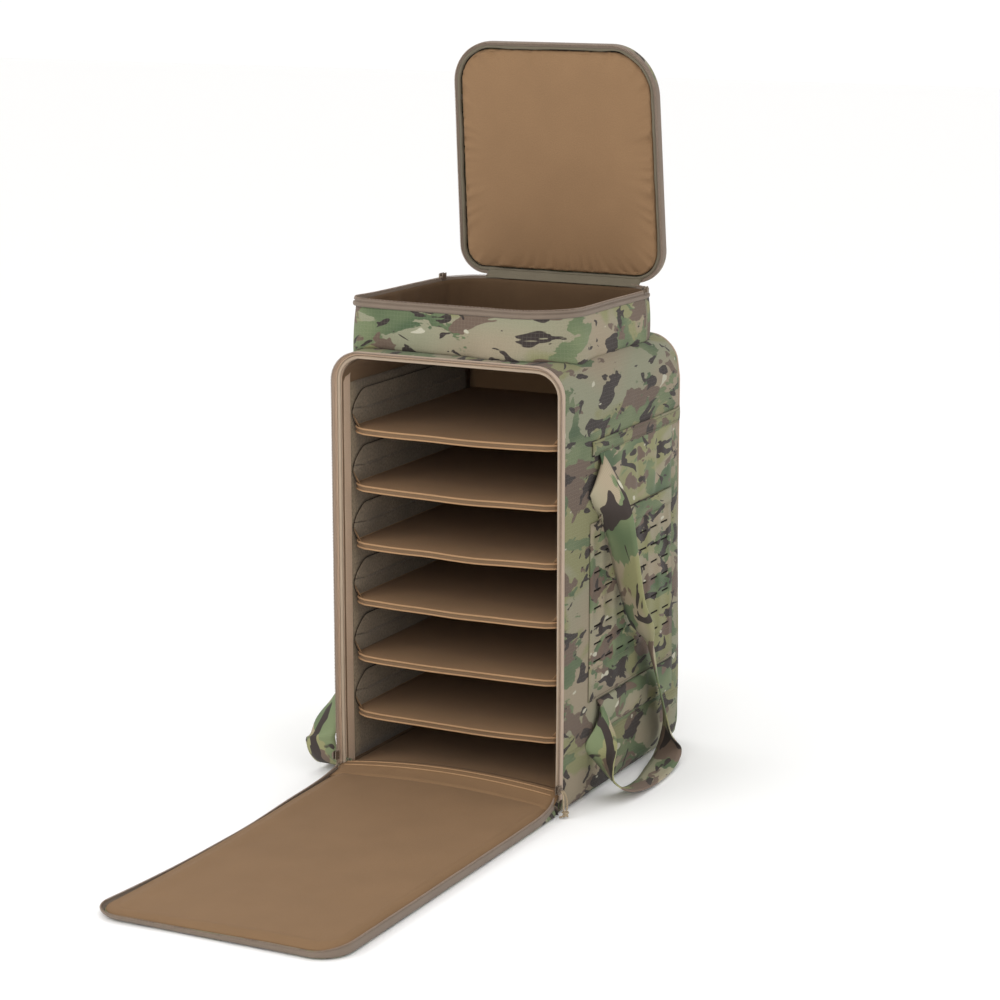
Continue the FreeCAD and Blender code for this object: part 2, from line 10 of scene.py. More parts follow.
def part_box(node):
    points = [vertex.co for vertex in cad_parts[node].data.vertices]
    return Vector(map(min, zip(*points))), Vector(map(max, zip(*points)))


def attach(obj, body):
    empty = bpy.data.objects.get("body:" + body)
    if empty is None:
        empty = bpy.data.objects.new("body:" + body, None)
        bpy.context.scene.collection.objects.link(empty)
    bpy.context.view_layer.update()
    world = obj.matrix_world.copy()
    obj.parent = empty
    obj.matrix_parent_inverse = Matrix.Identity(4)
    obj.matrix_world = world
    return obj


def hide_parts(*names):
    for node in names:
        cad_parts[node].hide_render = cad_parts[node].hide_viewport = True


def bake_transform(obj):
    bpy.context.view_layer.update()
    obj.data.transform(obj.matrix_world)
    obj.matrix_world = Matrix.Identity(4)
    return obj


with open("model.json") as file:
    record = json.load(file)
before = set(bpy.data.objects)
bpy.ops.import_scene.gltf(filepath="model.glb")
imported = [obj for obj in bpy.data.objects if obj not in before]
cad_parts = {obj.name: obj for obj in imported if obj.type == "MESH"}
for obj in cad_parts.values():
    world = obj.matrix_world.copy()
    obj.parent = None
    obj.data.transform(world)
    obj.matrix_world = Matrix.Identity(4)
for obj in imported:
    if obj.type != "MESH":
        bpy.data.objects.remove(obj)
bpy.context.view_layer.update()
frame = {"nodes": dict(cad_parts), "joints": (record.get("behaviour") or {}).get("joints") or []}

MM = 0.001
SIDES = ((-1, "left"), (1, "right"))


# ------------------------------------------------------------------ sizes from the frame

body_low, body_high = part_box("side_wrap_shell")
HALF = body_high.x
TOP = body_high.z
FRONT = body_low.y
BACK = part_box("back_shell")[1].y
SHOULDER = 42 * MM
BASE_BEND = 14 * MM
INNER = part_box("loop_lining_right")[0].x
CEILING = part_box("top_lining")[0].z
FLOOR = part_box("floor_pad")[1].z
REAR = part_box("back_lining")[0].y
LIP_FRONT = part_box("body_zip_tape")[0].y
LID_JOINT = next(joint for joint in frame["joints"] if joint["name"] == "lid_hinge")
LID_AXIS = Vector(LID_JOINT["pos_m"])
LID_STANDS = radians(LID_JOINT["range_deg"][0])
TIER_HALF, TIER_BACK, TIER_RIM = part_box("tier_shell")[1]
TIER_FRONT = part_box("tier_shell")[0].y
PANEL_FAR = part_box("panel_shell")[0].y
PANEL_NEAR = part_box("panel_shell")[1].y


# ------------------------------------------------------------------ small helpers

def new_item(name, data):
    item = bpy.data.objects.new(name, data)
    bpy.context.scene.collection.objects.link(item)
    return item


def clamp(value):
    return min(1.0, max(0.0, value))


def eased(depth, reach):
    """0 at an edge, rising to 1 a few reaches further in."""
    return 1 - exp(-depth / reach)


def millimetres(*places):
    """The points of a section, written in millimetres."""
    return [(out * MM, along * MM) for out, along in places]


# ------------------------------------------------------------------ camera and light

CAMERA_PLACE = Vector((1.723, -3.433, 1.222))
CAMERA_YAW = radians(26.93)
CAMERA_PITCH = radians(12.27)
CAMERA_LENS = 98.4


def make_camera():
    data = bpy.data.cameras.new("camera")
    data.lens = CAMERA_LENS
    camera = new_item("camera", data)
    camera.location = CAMERA_PLACE
    camera.rotation_euler = (radians(90) - CAMERA_PITCH, 0, CAMERA_YAW)
    bpy.context.scene.camera = camera


def area_light(name, place, target, size, watts, colour=(1, 1, 1)):
    data = bpy.data.lights.new(name, "AREA")
    data.energy = watts
    data.size = size
    data.color = colour
    light = new_item(name, data)
    light.location = place
    light.rotation_euler = (Vector(target) - Vector(place)).to_track_quat("-Z", "Y").to_euler()


def make_stage():
    world = bpy.data.worlds.new("studio")
    bpy.context.scene.world = world
    world.use_nodes = True
    background = world.node_tree.nodes["Background"]
    background.inputs["Color"].default_value = (1.0, 0.995, 0.985, 1)
    background.inputs["Strength"].default_value = 1.03
    area_light("key", (-1.7, -2.8, 2.4), (0, -0.1, 0.4), 1.6, 24)
    area_light("front", (0.9, -3.8, 1.5), (0, -0.1, 0.35), 1.6, 20)
    area_light("fill", (3.0, -1.2, 1.5), (0, 0, 0.4), 2.2, 7)
    area_light("top", (0.2, 0.4, 3.0), (0, 0, 0.3), 2.0, 8)
    bpy.context.scene.view_settings.view_transform = "Standard"
    bpy.ops.mesh.primitive_plane_add(size=30, location=(0, 0, -0.0005))
    floor = bpy.context.object
    floor.name = "floor"
    material, shader = new_material("floor_paper")
    shader.inputs["Base Color"].default_value = (0.97, 0.97, 0.97, 1)
    shader.inputs["Roughness"].default_value = 0.9
    floor.data.materials.append(material)


# ------------------------------------------------------------------ materials

SAGE = (0.225, 0.225, 0.150)
TAN = (0.262, 0.215, 0.148)
OLIVE = (0.205, 0.200, 0.098)
GREEN = (0.060, 0.092, 0.046)
UMBER = (0.034, 0.026, 0.023)
ROSE_BROWN = (0.122, 0.086, 0.064)
CREAM = (0.42, 0.40, 0.31)
COYOTE = (0.270, 0.162, 0.085)
COYOTE_EDGE = (0.42, 0.255, 0.135)
TAPE = (0.430, 0.325, 0.245)
TAPE_OLIVE = (0.150, 0.128, 0.088)
TAPE_DARK = (0.190, 0.145, 0.110)
COIL = (0.29, 0.22, 0.17)
KHAKI = (0.43, 0.34, 0.25)
LOOP = (0.260, 0.205, 0.140)
WALL = (0.540, 0.400, 0.290)
# near-black: painted shade seen through the cut slots
DARK = (0.020, 0.016, 0.013)
THREAD = (0.24, 0.16, 0.09)


def new_material(name):
    material = bpy.data.materials.new(name)
    material.use_nodes = True
    nodes = material.node_tree.nodes
    return material, nodes["Principled BSDF"]


class Graph:
    """Short calls for wiring a material's nodes together."""

    def __init__(self, name, roughness=0.8, sheen=0.0, solid=False):
        self.material, self.shader = new_material(name)
        self.tree = self.material.node_tree
        self.shader.inputs["Roughness"].default_value = roughness
        self.shader.inputs["Sheen Weight"].default_value = sheen
        self.shader.inputs["Sheen Roughness"].default_value = 0.5
        self.shader.inputs["Specular IOR Level"].default_value = 0.25
        if solid:
            self.uv = self.node("ShaderNodeTexCoord").outputs["Object"]
        else:
            self.uv = self.node("ShaderNodeUVMap").outputs["UV"]

    def node(self, kind, inputs=None, **settings):
        node = self.tree.nodes.new(kind)
        for key, value in settings.items():
            setattr(node, key, value)
        for key, value in (inputs or {}).items():
            self.put(node.inputs[key], value)
        return node

    def put(self, socket, value):
        if hasattr(value, "is_output"):
            self.tree.links.new(value, socket)
        elif isinstance(value, tuple) and len(value) == 3 and socket.type == "RGBA":
            socket.default_value = (*value, 1)
        else:
            socket.default_value = value

    def math(self, operation, first, second=0.0, third=None):
        inputs = {0: first, 1: second}
        if third is not None:
            inputs[2] = third
        return self.node("ShaderNodeMath", inputs, operation=operation).outputs[0]

    def moved(self, scale, offset=(0, 0, 0), turn=0.0):
        inputs = {"Vector": self.uv, "Scale": scale, "Location": offset, "Rotation": (0, 0, turn)}
        return self.node("ShaderNodeMapping", inputs).outputs["Vector"]

    def cloud(self, vector, scale, detail=2.0, roughness=0.5, distortion=0.0):
        inputs = {"Vector": vector, "Scale": scale, "Detail": detail, "Roughness": roughness,
                  "Distortion": distortion}
        return self.node("ShaderNodeTexNoise", inputs).outputs["Fac"]

    def step(self, value, low, high):
        inputs = {"Value": value, "From Min": low, "From Max": high}
        return self.node("ShaderNodeMapRange", inputs).outputs["Result"]

    def mix(self, factor, first, second, blend="MIX"):
        inputs = {"Factor": factor, 6: first, 7: second}
        return self.node("ShaderNodeMix", inputs, data_type="RGBA", blend_type=blend).outputs[2]

    def bump(self, height, distance, strength=1.0):
        node = self.node("ShaderNodeBump", {"Distance": distance, "Strength": strength, "Height": height})
        if self.shader.inputs["Normal"].is_linked:
            self.put(node.inputs["Normal"], self.shader.inputs["Normal"].links[0].from_socket)
        self.put(self.shader.inputs["Normal"], node.outputs["Normal"])

    def colour(self, value):
        self.put(self.shader.inputs["Base Color"], value)


def shade(colour, gain):
    return tuple(min(1.0, c * gain) for c in colour)


def speckled(graph, colour, scale, amount):
    """The colour with fine light and dark specks over it."""
    speck = graph.step(graph.cloud(graph.uv, scale, 1.0), 0.3, 0.7)
    return graph.mix(amount, colour, graph.mix(speck, (0, 0, 0), (1, 1, 1)), "OVERLAY")


def plain_weave(graph, pitch):
    """Height of a plain weave whose threads lie one pitch apart, from 0 to 1."""
    split = graph.node("ShaderNodeSeparateXYZ", {0: graph.moved((1 / pitch, 1 / pitch, 1))})
    across = graph.math("SINE", graph.math("MULTIPLY", split.outputs[0], tau))
    along = graph.math("SINE", graph.math("MULTIPLY", split.outputs[1], tau))
    woven = graph.math("MULTIPLY", across, along)
    return graph.math("MULTIPLY_ADD", woven, 0.5, 0.5)


def rib_lines(graph, pitch, share, axis):
    """1 on thin lines that repeat along one axis of the cloth, 0 between them."""
    split = graph.node("ShaderNodeSeparateXYZ", {0: graph.moved((1 / pitch, 1 / pitch, 1))})
    place = graph.math("FRACT", split.outputs[axis])
    return graph.math("LESS_THAN", place, share)


def camouflage(graph, seed, size=1.0, gain=1.0):
    """A generic woodland print: soft ground tones, then crisp leaf, bark and twig shapes."""
    # gain scales every tone of the print; some pieces use it for painted light and shade
    sage, tan, olive_tone, green, leaf_light, rose, umber, cream = [
        shade(tone, gain) for tone in
        (SAGE, TAN, OLIVE, GREEN, (0.140, 0.170, 0.088), ROSE_BROWN, UMBER, CREAM)]
    wide = (0.60 / size, 1.12 / size, 1)
    shift = (seed * 3.7, seed * 1.9, 0)
    flow = graph.moved(wide, shift)
    lean = graph.moved(wide, (shift[0] + 5, shift[1] + 2, 0), 0.35)
    ground = graph.step(graph.cloud(flow, 6.5, 1.0), 0.40, 0.58)
    colour = graph.mix(ground, sage, tan)
    olive = graph.step(graph.cloud(lean, 9.0, 2.5, 0.55, 0.4), 0.50, 0.545)
    colour = graph.mix(olive, colour, olive_tone)
    leaf = graph.cloud(flow, 14.0, 4.0, 0.58, 0.4)
    fade = graph.step(graph.cloud(lean, 18.0, 1.0), 0.30, 0.62)
    leaf_tone = graph.mix(fade, green, leaf_light)
    colour = graph.mix(graph.step(leaf, 0.526, 0.538), colour, leaf_tone)
    bark = graph.cloud(graph.moved(wide, (shift[0] + 9, shift[1] + 4, 0), -0.2), 16.0, 3.5, 0.60, 0.5)
    colour = graph.mix(graph.step(bark, 0.562, 0.572), colour, rose)
    twig = graph.cloud(graph.moved((0.62 / size, 1.25 / size, 1), (shift[0] + 3, shift[1] + 7, 0), 0.2),
                       25.0, 2.5, 0.50, 0.9)
    colour = graph.mix(graph.step(twig, 0.588, 0.596), colour, umber)
    fleck = graph.cloud(graph.moved(wide, (shift[0] + 1, shift[1] + 11, 0)), 34.0, 1.5, 0.5, 0.2)
    colour = graph.mix(graph.step(fleck, 0.705, 0.715), colour, cream)
    return colour


def camo_cloth(name, seed, size=1.0, ripstop=5.2 * MM, gain=1.0):
    graph = Graph(name, roughness=0.82, sheen=0.06)
    print_colour = camouflage(graph, seed, size, gain)
    if ripstop:
        lines = graph.math("MAXIMUM", rib_lines(graph, ripstop, 0.10, 0),
                           rib_lines(graph, ripstop, 0.10, 1))
        # the ripstop threads drawn paler: painted sheen on the real grid, whose relief is the bump below
        print_colour = graph.mix(graph.math("MULTIPLY", lines, 0.06), print_colour,
                                 (0.55, 0.52, 0.42))
        graph.bump(lines, 0.12 * MM, 0.3)
    print_colour = speckled(graph, print_colour, 900.0, 0.14)
    graph.bump(plain_weave(graph, 0.9 * MM), 0.18 * MM, 0.6)
    graph.bump(graph.cloud(graph.uv, 60.0, 2.0), 1.2 * MM, 0.35)
    graph.colour(print_colour)
    return graph.material


def camo_webbing(name, seed, size=1.0, gain=1.0):
    graph = Graph(name, roughness=0.75, sheen=0.06)
    ribs = rib_lines(graph, 2.1 * MM, 0.3, 0)
    print_colour = camouflage(graph, seed, size, gain)
    shade = graph.mix(graph.math("MULTIPLY", ribs, 0.14), print_colour, (0.03, 0.03, 0.02))
    graph.bump(plain_weave(graph, 2.1 * MM), 0.3 * MM, 0.5)
    graph.colour(shade)
    return graph.material


def plain_cloth(name, colour, pitch=0.9 * MM, roughness=0.85, depth=0.2 * MM, mottling=0.10, sheen=0.03):
    graph = Graph(name, roughness=roughness, sheen=sheen)
    graph.shader.inputs["Specular IOR Level"].default_value = 0.12
    weave = plain_weave(graph, pitch)
    tone = graph.step(graph.cloud(graph.uv, 14.0, 3.0), 0.25, 0.75)
    pale = shade(colour, 1 + mottling)
    deep = shade(colour, 1 - mottling)
    base = graph.mix(tone, deep, pale)
    shadow = shade(colour, 0.72)
    base = graph.mix(graph.math("MULTIPLY", weave, 0.30), base, shadow)
    base = speckled(graph, base, 700.0, 0.08)
    graph.bump(weave, depth, 0.7)
    graph.bump(graph.cloud(graph.uv, 45.0, 3.0), 1.5 * MM, 0.25)
    graph.colour(base)
    return graph.material


def pile_cloth(name, colour):
    """Brushed loop pile: a soft, clumped surface with no thread lines."""
    graph = Graph(name, roughness=0.95, sheen=0.20)
    clumps = graph.cloud(graph.uv, 260.0, 4.0, 0.7)
    patches = graph.step(graph.cloud(graph.uv, 22.0, 3.0), 0.3, 0.7)
    base = graph.mix(patches, shade(colour, 0.82), shade(colour, 1.2))
    # low spots of the pile drawn darker: painted shade between the clumps
    base = graph.mix(graph.step(clumps, 0.35, 0.65), shade(colour, 0.6), base)
    graph.bump(clumps, 0.9 * MM, 0.8)
    graph.colour(base)
    return graph.material


def ribbed_tape(name, colour, pitch=1.3 * MM):
    graph = Graph(name, roughness=0.75, sheen=0.1)
    split = graph.node("ShaderNodeSeparateXYZ", {0: graph.uv})
    ribs = graph.math("SINE", graph.math("MULTIPLY", split.outputs[0], tau / pitch))
    height = graph.math("MULTIPLY_ADD", ribs, 0.5, 0.5)
    base = graph.mix(graph.math("MULTIPLY", height, 0.35), colour, shade(colour, 0.62))
    wear = graph.step(graph.cloud(graph.uv, 30.0, 3.0), 0.3, 0.7)
    base = graph.mix(graph.math("MULTIPLY", wear, 0.25), base, shade(colour, 1.3))
    graph.bump(height, 0.3 * MM, 0.6)
    graph.colour(base)
    return graph.material


def moulded(name, colour, roughness=0.45):
    graph = Graph(name, roughness=roughness)
    tone = graph.step(graph.cloud(graph.uv, 60.0, 2.0), 0.3, 0.7)
    graph.colour(graph.mix(tone, shade(colour, 0.88), shade(colour, 1.1)))
    return graph.material


def braided(name, colour):
    """A braided sheath: crossing bands of strands, from the place on the piece itself."""
    graph = Graph(name, roughness=0.8, sheen=0.15, solid=True)
    strands = graph.cloud(graph.moved((1, 1, 0.6)), 1500.0, 2.0)
    fine = graph.step(strands, 0.38, 0.62)
    graph.bump(fine, 0.3 * MM, 0.8)
    # strands drawn darker in their hollows and lighter on top: painted shade and highlight
    graph.colour(graph.mix(fine, shade(colour, 0.6), shade(colour, 1.15)))
    return graph.material


def painted_metal(name, colour):
    graph = Graph(name, roughness=0.42, solid=True)
    graph.shader.inputs["Metallic"].default_value = 0.6
    worn = graph.step(graph.cloud(graph.uv, 500.0, 3.0), 0.60, 0.68)
    graph.colour(graph.mix(worn, colour, (0.42, 0.38, 0.33)))
    return graph.material


def make_materials():
    return {
        # gain scales a copy of the print: the wrap's 0.92 is painted shade for its shaded sides, the strap's
        # 1.45 painted light over its shaded folds
        "wrap": camo_cloth("camo_wrap", 1.0, gain=0.92),
        "back": camo_cloth("camo_back", 2.3),
        "tier": camo_cloth("camo_tier", 3.1, 0.9, gain=1.08),
        "panel": camo_cloth("camo_panel", 4.4),
        "lid": camo_cloth("camo_lid", 5.2),
        "laminate": camo_cloth("camo_laminate", 6.6, 0.8, ripstop=0, gain=1.05),
        "sleeve": camo_webbing("camo_sleeve", 7.3, 0.9, 1.1),
        "strap": camo_webbing("camo_strap", 8.8, 1.15, 1.45),
        "lining": plain_cloth("coyote_lining", COYOTE, mottling=0.05),
        # the coyote lining cloth drawn darker for the panel lying flat: painted shade
        "panel_lining": plain_cloth("panel_lining_shade_cloth", (0.232, 0.139, 0.072), mottling=0.05),
        "inner": plain_cloth("inner_cloth", (0.185, 0.118, 0.068)),
        # the tier's lining is the coyote cloth drawn darker: painted shade under the standing lid
        "deep": plain_cloth("tier_shade_cloth", (0.100, 0.060, 0.032)),
        "lining_edge": plain_cloth("coyote_edge", COYOTE_EDGE, mottling=0.06),
        "wall": plain_cloth("wall_cloth", WALL, mottling=0.08),
        "pile": pile_cloth("loop_pile", LOOP),
        "tape": ribbed_tape("zip_tape", TAPE),
        "olive_tape": ribbed_tape("olive_tape", TAPE_OLIVE),
        "dark_tape": ribbed_tape("dark_tape", TAPE_DARK),
        "coil": moulded("zip_coil", COIL),
        "binding": ribbed_tape("khaki_binding", KHAKI, 1.0 * MM),
        "dark": plain_cloth("slot_shadow", DARK, mottling=0.02, sheen=0.0),
        "edge": plain_cloth("wing_edge", (0.045, 0.033, 0.024), mottling=0.05, sheen=0.0),
        "thread": moulded("thread", THREAD, 0.6),
        "stitch": moulded("outer_thread", (0.16, 0.15, 0.095), 0.6),
        "cord_round": braided("cord_sheath", (0.40, 0.31, 0.20)),
        "metal": painted_metal("slider_metal", (0.21, 0.165, 0.125)),
    }


# ------------------------------------------------------------------ mesh helpers

def new_object(name, vertices, faces, uvs=None, material=None, smooth=True):
    mesh = bpy.data.meshes.new(name)
    mesh.from_pydata([tuple(v) for v in vertices], [], faces)
    layer = mesh.uv_layers.new(name="UVMap")
    if uvs:
        for loop in mesh.loops:
            layer.data[loop.index].uv = uvs[loop.vertex_index]
    mesh.validate()
    if smooth:
        mesh.polygons.foreach_set("use_smooth", [True] * len(mesh.polygons))
    if material:
        mesh.materials.append(material)
    return new_item(name, mesh)


def finish(piece, body, replaced=()):
    """Attach a piece to its body and hide the CAD nodes it replaces. body is None for one that lies between
    two bodies and is attached to neither.
    """
    if body:
        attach(piece, body)
    if replaced:
        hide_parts(*replaced)
    return piece


def solidify(piece, thickness, offset=-1.0):
    modifier = piece.modifiers.new("thickness", "SOLIDIFY")
    modifier.thickness = thickness
    modifier.offset = offset
    return piece


def smooth_more(piece, levels=1):
    modifier = piece.modifiers.new("smooth", "SUBSURF")
    modifier.levels = levels
    modifier.render_levels = levels
    return piece


def track(corners, step=6 * MM, closed=False):
    """Samples (x, y, nx, ny, s) along straight runs and round corners, with the outside on the left."""
    spots = [Vector(c[:2]) for c in corners]
    count = len(spots)
    samples = []
    travelled = 0.0

    def add(point, normal):
        nonlocal travelled
        if samples:
            travelled += (point - Vector(samples[-1][:2])).length
        samples.append((point.x, point.y, normal.x, normal.y, travelled))

    order = range(count) if closed else range(count - 1)
    for i in order:
        start, stop = spots[i], spots[(i + 1) % count]
        into = (stop - start).normalized()
        left = Vector((-into.y, into.x))
        radius_in = corners[i][2] if closed or i > 0 else 0.0
        last = not closed and i == count - 2
        radius_out = 0.0 if last else corners[(i + 1) % count][2]
        first = start + into * radius_in
        end = stop - into * radius_out
        runs = max(1, int((end - first).length / step))
        for k in range(runs + (1 if last or radius_out == 0 else 0)):
            add(first.lerp(end, k / runs), left)
        if radius_out > 0:
            following = (spots[(i + 2) % count] - stop).normalized()
            turn = into.angle_signed(following)
            side = Vector((-into.y, into.x)) * (-1 if turn > 0 else 1)
            centre = end + side * radius_out
            bits = max(4, int(abs(turn) * radius_out / step) + 2)
            for k in range(bits):
                angle = -turn * k / bits
                arm = (end - centre)
                arm.rotate(Matrix.Rotation(angle, 2))
                normal = left.copy()
                normal.rotate(Matrix.Rotation(angle, 2))
                add(centre + arm, normal)
    return samples


def settle(x, y, z):
    """How far a place near the case's top rear corners has sunk towards the middle and down."""
    rear = max(0.0, (y - 60 * MM) / (BACK - 60 * MM)) ** 1.6
    beside = clamp((abs(x) - (HALF - SHOULDER - 30 * MM)) / (72 * MM))
    high = clamp((z - (TOP - SHOULDER - 30 * MM)) / (72 * MM))
    corner = 9.5 * MM * beside * high * rear
    return Vector((-copysign(corner, x), 0, -0.9 * corner - 3.0 * MM * high * rear))


def in_front(sample, out, along):
    """A place on an outline that stands in the XZ plane: along is the world y."""
    x, z, nx, nz, _ = sample
    swell = out + bow(z, nx)
    spot = Vector((x + nx * swell, along, z + nz * out))
    return spot + settle(spot.x, along, spot.z)


def in_plan(sample, out, along):
    """A place on an outline that lies in the XY plane: along is the world z."""
    x, y, nx, ny, _ = sample
    return Vector((x + nx * out, y + ny * out, along))


def bow(z, nx):
    """How far the padded sides stand out at a height: pulled in at the base, full above."""
    rise = clamp((z - 0.01) / 0.16)
    return abs(nx) * (3 * rise ** 2 - 2 * rise ** 3) * MM


def quads(rows, width, round_rows=False, round_width=False, skip=()):
    """The faces of a grid of vertices. A round grid joins its last row or column to its first."""
    faces = []
    for i in range(rows if round_rows else rows - 1):
        following = (i + 1) % rows * width
        for j in range(width if round_width else width - 1):
            beside = (j + 1) % width
            if (j, i) not in skip:
                faces.append((i * width + j, i * width + beside, following + beside, following + j))
    return faces


def end_caps(rows, width):
    last = (rows - 1) * width
    return [tuple(range(width))[::-1], tuple(range(last, last + width))]


def sweep(name, samples, section, place, material, closed=False, loop=False, wobble=None, turned=False):
    """Carry a section of (out, along) points down a track. loop joins the section to itself."""
    vertices = []
    uvs = []
    lengths = [0.0]
    for a, b in zip(section, section[1:]):
        lengths.append(lengths[-1] + dist(a, b))
    for sample in samples:
        for j, (out, along) in enumerate(section):
            shift = wobble(sample, j, out, along) if wobble else (0.0, 0.0)
            vertices.append(place(sample, out + shift[0], along + shift[1]))
            uvs.append((lengths[j], sample[4]) if turned else (sample[4], lengths[j]))
    faces = quads(len(samples), len(section), closed, loop)
    if loop and not closed:
        faces += end_caps(len(samples), len(section))
    return new_object(name, vertices, faces, uvs, material)


def tidy_normals(piece):
    mesh = piece.data
    work = bmesh.new()
    work.from_mesh(mesh)
    bmesh.ops.remove_doubles(work, verts=work.verts, dist=0.01 * MM)
    bmesh.ops.recalc_face_normals(work, faces=work.faces)
    work.to_mesh(mesh)
    work.free()
    return piece


def pillow(name, samples, spine, place, height, material, rings=12, section=((0.0, None),), even=1.5):
    """Carry a side section round a closed track, then fill what it leaves with rings that shrink to a spine.
    height(x, y, depth) gives the along value of the filled part."""
    vertices = []
    uvs = []
    start, stop = Vector(spine[0]), Vector(spine[1])
    axis = stop - start
    spine_bits = max(1, round(axis.length / (6 * MM)))

    for out, along in section:
        if along is not None:
            for s in samples:
                vertices.append(place(s, out, along))
                uvs.append((s[0] + s[2] * out * 2, s[1] + s[3] * out * 2 + along))
    inset = section[-1][0]
    for k in range(1 if section[-1][1] is not None else 0, rings + 1):
        for s in samples:
            here = Vector((s[0] + s[2] * inset, s[1] + s[3] * inset))
            share = clamp((here - start).dot(axis) / max(axis.length_squared, 1e-12))
            if k == rings:
                share = round(share * spine_bits) / spine_bits
            point = here.lerp(start + axis * share, (k / rings) ** even)
            depth = (here - point).length
            flat = (point.x, point.y, 0, 0, 0)
            vertices.append(place(flat, 0.0, height(point.x, point.y, depth)))
            uvs.append(tuple(point))
    faces = quads(len(vertices) // len(samples), len(samples), round_width=True)
    return tidy_normals(new_object(name, vertices, faces, uvs, material))


def smooth_line(points, per_span=8, closed=False):
    """A Catmull-Rom line through the points."""
    count = len(points)
    result = []
    spans = count if closed else count - 1
    for i in range(spans):
        if closed:
            p = [points[(i + k - 1) % count] for k in range(4)]
        else:
            p = [points[min(max(i + k - 1, 0), count - 1)] for k in range(4)]
        for k in range(per_span):
            t = k / per_span
            result.append(0.5 * (2 * p[1] + (p[2] - p[0]) * t
                                 + (2 * p[0] - 5 * p[1] + 4 * p[2] - p[3]) * t * t
                                 + (3 * p[1] - p[0] - 3 * p[2] + p[3]) * t ** 3))
    if not closed:
        result.append(points[-1].copy())
    return result


def tube(name, points, radius, material, sides=8, closed=False, flat=1.0):
    """A round or flattened tube along points, with rings square to it."""
    vertices = []
    uvs = []
    count = len(points)
    up = None
    travelled = 0.0
    for i, point in enumerate(points):
        before = points[i - 1] if closed or i else points[0]
        after = points[(i + 1) % count] if closed or i < count - 1 else points[-1]
        along = (after - before).normalized()
        if up is None:
            up = along.orthogonal().normalized()
        up = (up - along * up.dot(along)).normalized()
        side = along.cross(up)
        if i:
            travelled += (point - points[i - 1]).length
        for k in range(sides):
            angle = tau * k / sides
            vertices.append(point + up * cos(angle) * radius + side * sin(angle) * radius * flat)
            uvs.append((travelled, k / sides * tau * radius))
    faces = quads(count, sides, closed, True)
    if not closed:
        faces += end_caps(count, sides)
    return new_object(name, vertices, faces, uvs, material)


def resample(points, pitch):
    """Points one pitch apart along a line, with the direction of the line at each."""
    result = []
    carried = 0.0
    for a, b in zip(points, points[1:]):
        length = (b - a).length
        if length < 1e-9:
            continue
        along = (b - a) / length
        while carried <= length:
            result.append((a + along * carried, along))
            carried += pitch
        carried -= length
    return result


def stitch_row(name, lines, normal_at, material, pitch=3.4 * MM, length=2.5 * MM, radius=0.32 * MM):
    """Rows of short raised stitches along lines. normal_at(point) gives the cloth's outside there."""
    vertices = []
    faces = []
    for line in lines:
        for spot, along in resample(line, pitch):
            out = normal_at(spot)
            side = along.cross(out).normalized() * radius
            lift = out * radius * 0.9
            base = len(vertices)
            for share, height in ((0.0, -0.4), (0.18, 1.0), (0.82, 1.0), (1.0, -0.4)):
                place = spot + along * (length * share)
                vertices.extend((place + side + lift * (height - 1), place + lift * height,
                                 place - side + lift * (height - 1)))
            for k in range(3):
                a = base + 3 * k
                faces.append((a, a + 1, a + 4, a + 3))
                faces.append((a + 1, a + 2, a + 5, a + 4))
            faces.append((base, base + 2, base + 1))
            faces.append((base + 9, base + 10, base + 11))
            faces.append((base, base + 3, base + 5, base + 2))
            faces.append((base + 3, base + 6, base + 8, base + 5))
            faces.append((base + 6, base + 9, base + 11, base + 8))
    return new_object(name, vertices, faces, [(v[0], v[1]) for v in vertices], material)


def zip_coil(name, centres, outs, alongs, material, pitch=2.1 * MM, wire=0.42 * MM, reach=0.85 * MM,
             depth=1.0 * MM):
    """A wound zip coil: one wire that turns round the line once every pitch."""
    total = 0.0
    marks = [0.0]
    for a, b in zip(centres, centres[1:]):
        total += (b - a).length
        marks.append(total)
    bits = 7
    steps = int(total / pitch * bits)
    points = []
    cursor = 0
    for k in range(steps + 1):
        s = total * k / steps
        while cursor < len(marks) - 2 and marks[cursor + 1] < s:
            cursor += 1
        span = marks[cursor + 1] - marks[cursor]
        share = (s - marks[cursor]) / span if span else 0.0
        centre = centres[cursor].lerp(centres[cursor + 1], share)
        out = outs[cursor].lerp(outs[cursor + 1], share)
        along = alongs[cursor].lerp(alongs[cursor + 1], share)
        angle = tau * k / bits
        points.append(centre + out * (cos(angle) * reach) + along * (sin(angle) * depth))
    return tube(name, points, wire, material, sides=5)


def ripple(u, v, seed, size, amount):
    return amount * noise.noise(Vector((u / size, v / size, seed)))


def ribbon(name, stations, material, across=6, per_span=10, thickness=1.6 * MM):
    """Webbing along stations of (centre, half-width vector, cup), with its edges following the vectors."""
    centres = smooth_line([Vector(s[0]) * MM for s in stations], per_span)
    halves = smooth_line([Vector(s[1]) * MM for s in stations], per_span)
    cups = smooth_line([Vector((s[2], 0, 0)) * MM for s in stations], per_span)
    vertices = []
    uvs = []
    travelled = 0.0
    for i, centre in enumerate(centres):
        along = (centres[min(i + 1, len(centres) - 1)] - centres[max(i - 1, 0)]).normalized()
        normal = along.cross(halves[i]).normalized()
        if i:
            travelled += (centre - centres[i - 1]).length
        for k in range(across + 1):
            share = 2 * k / across - 1
            cup = normal * cups[i].x * (1 - share * share)
            vertices.append(centre + halves[i] * share + cup)
            uvs.append((travelled, share * halves[i].length))
    piece = new_object(name, vertices, quads(len(centres), across + 1), uvs, material)
    return solidify(piece, thickness, 0.0)


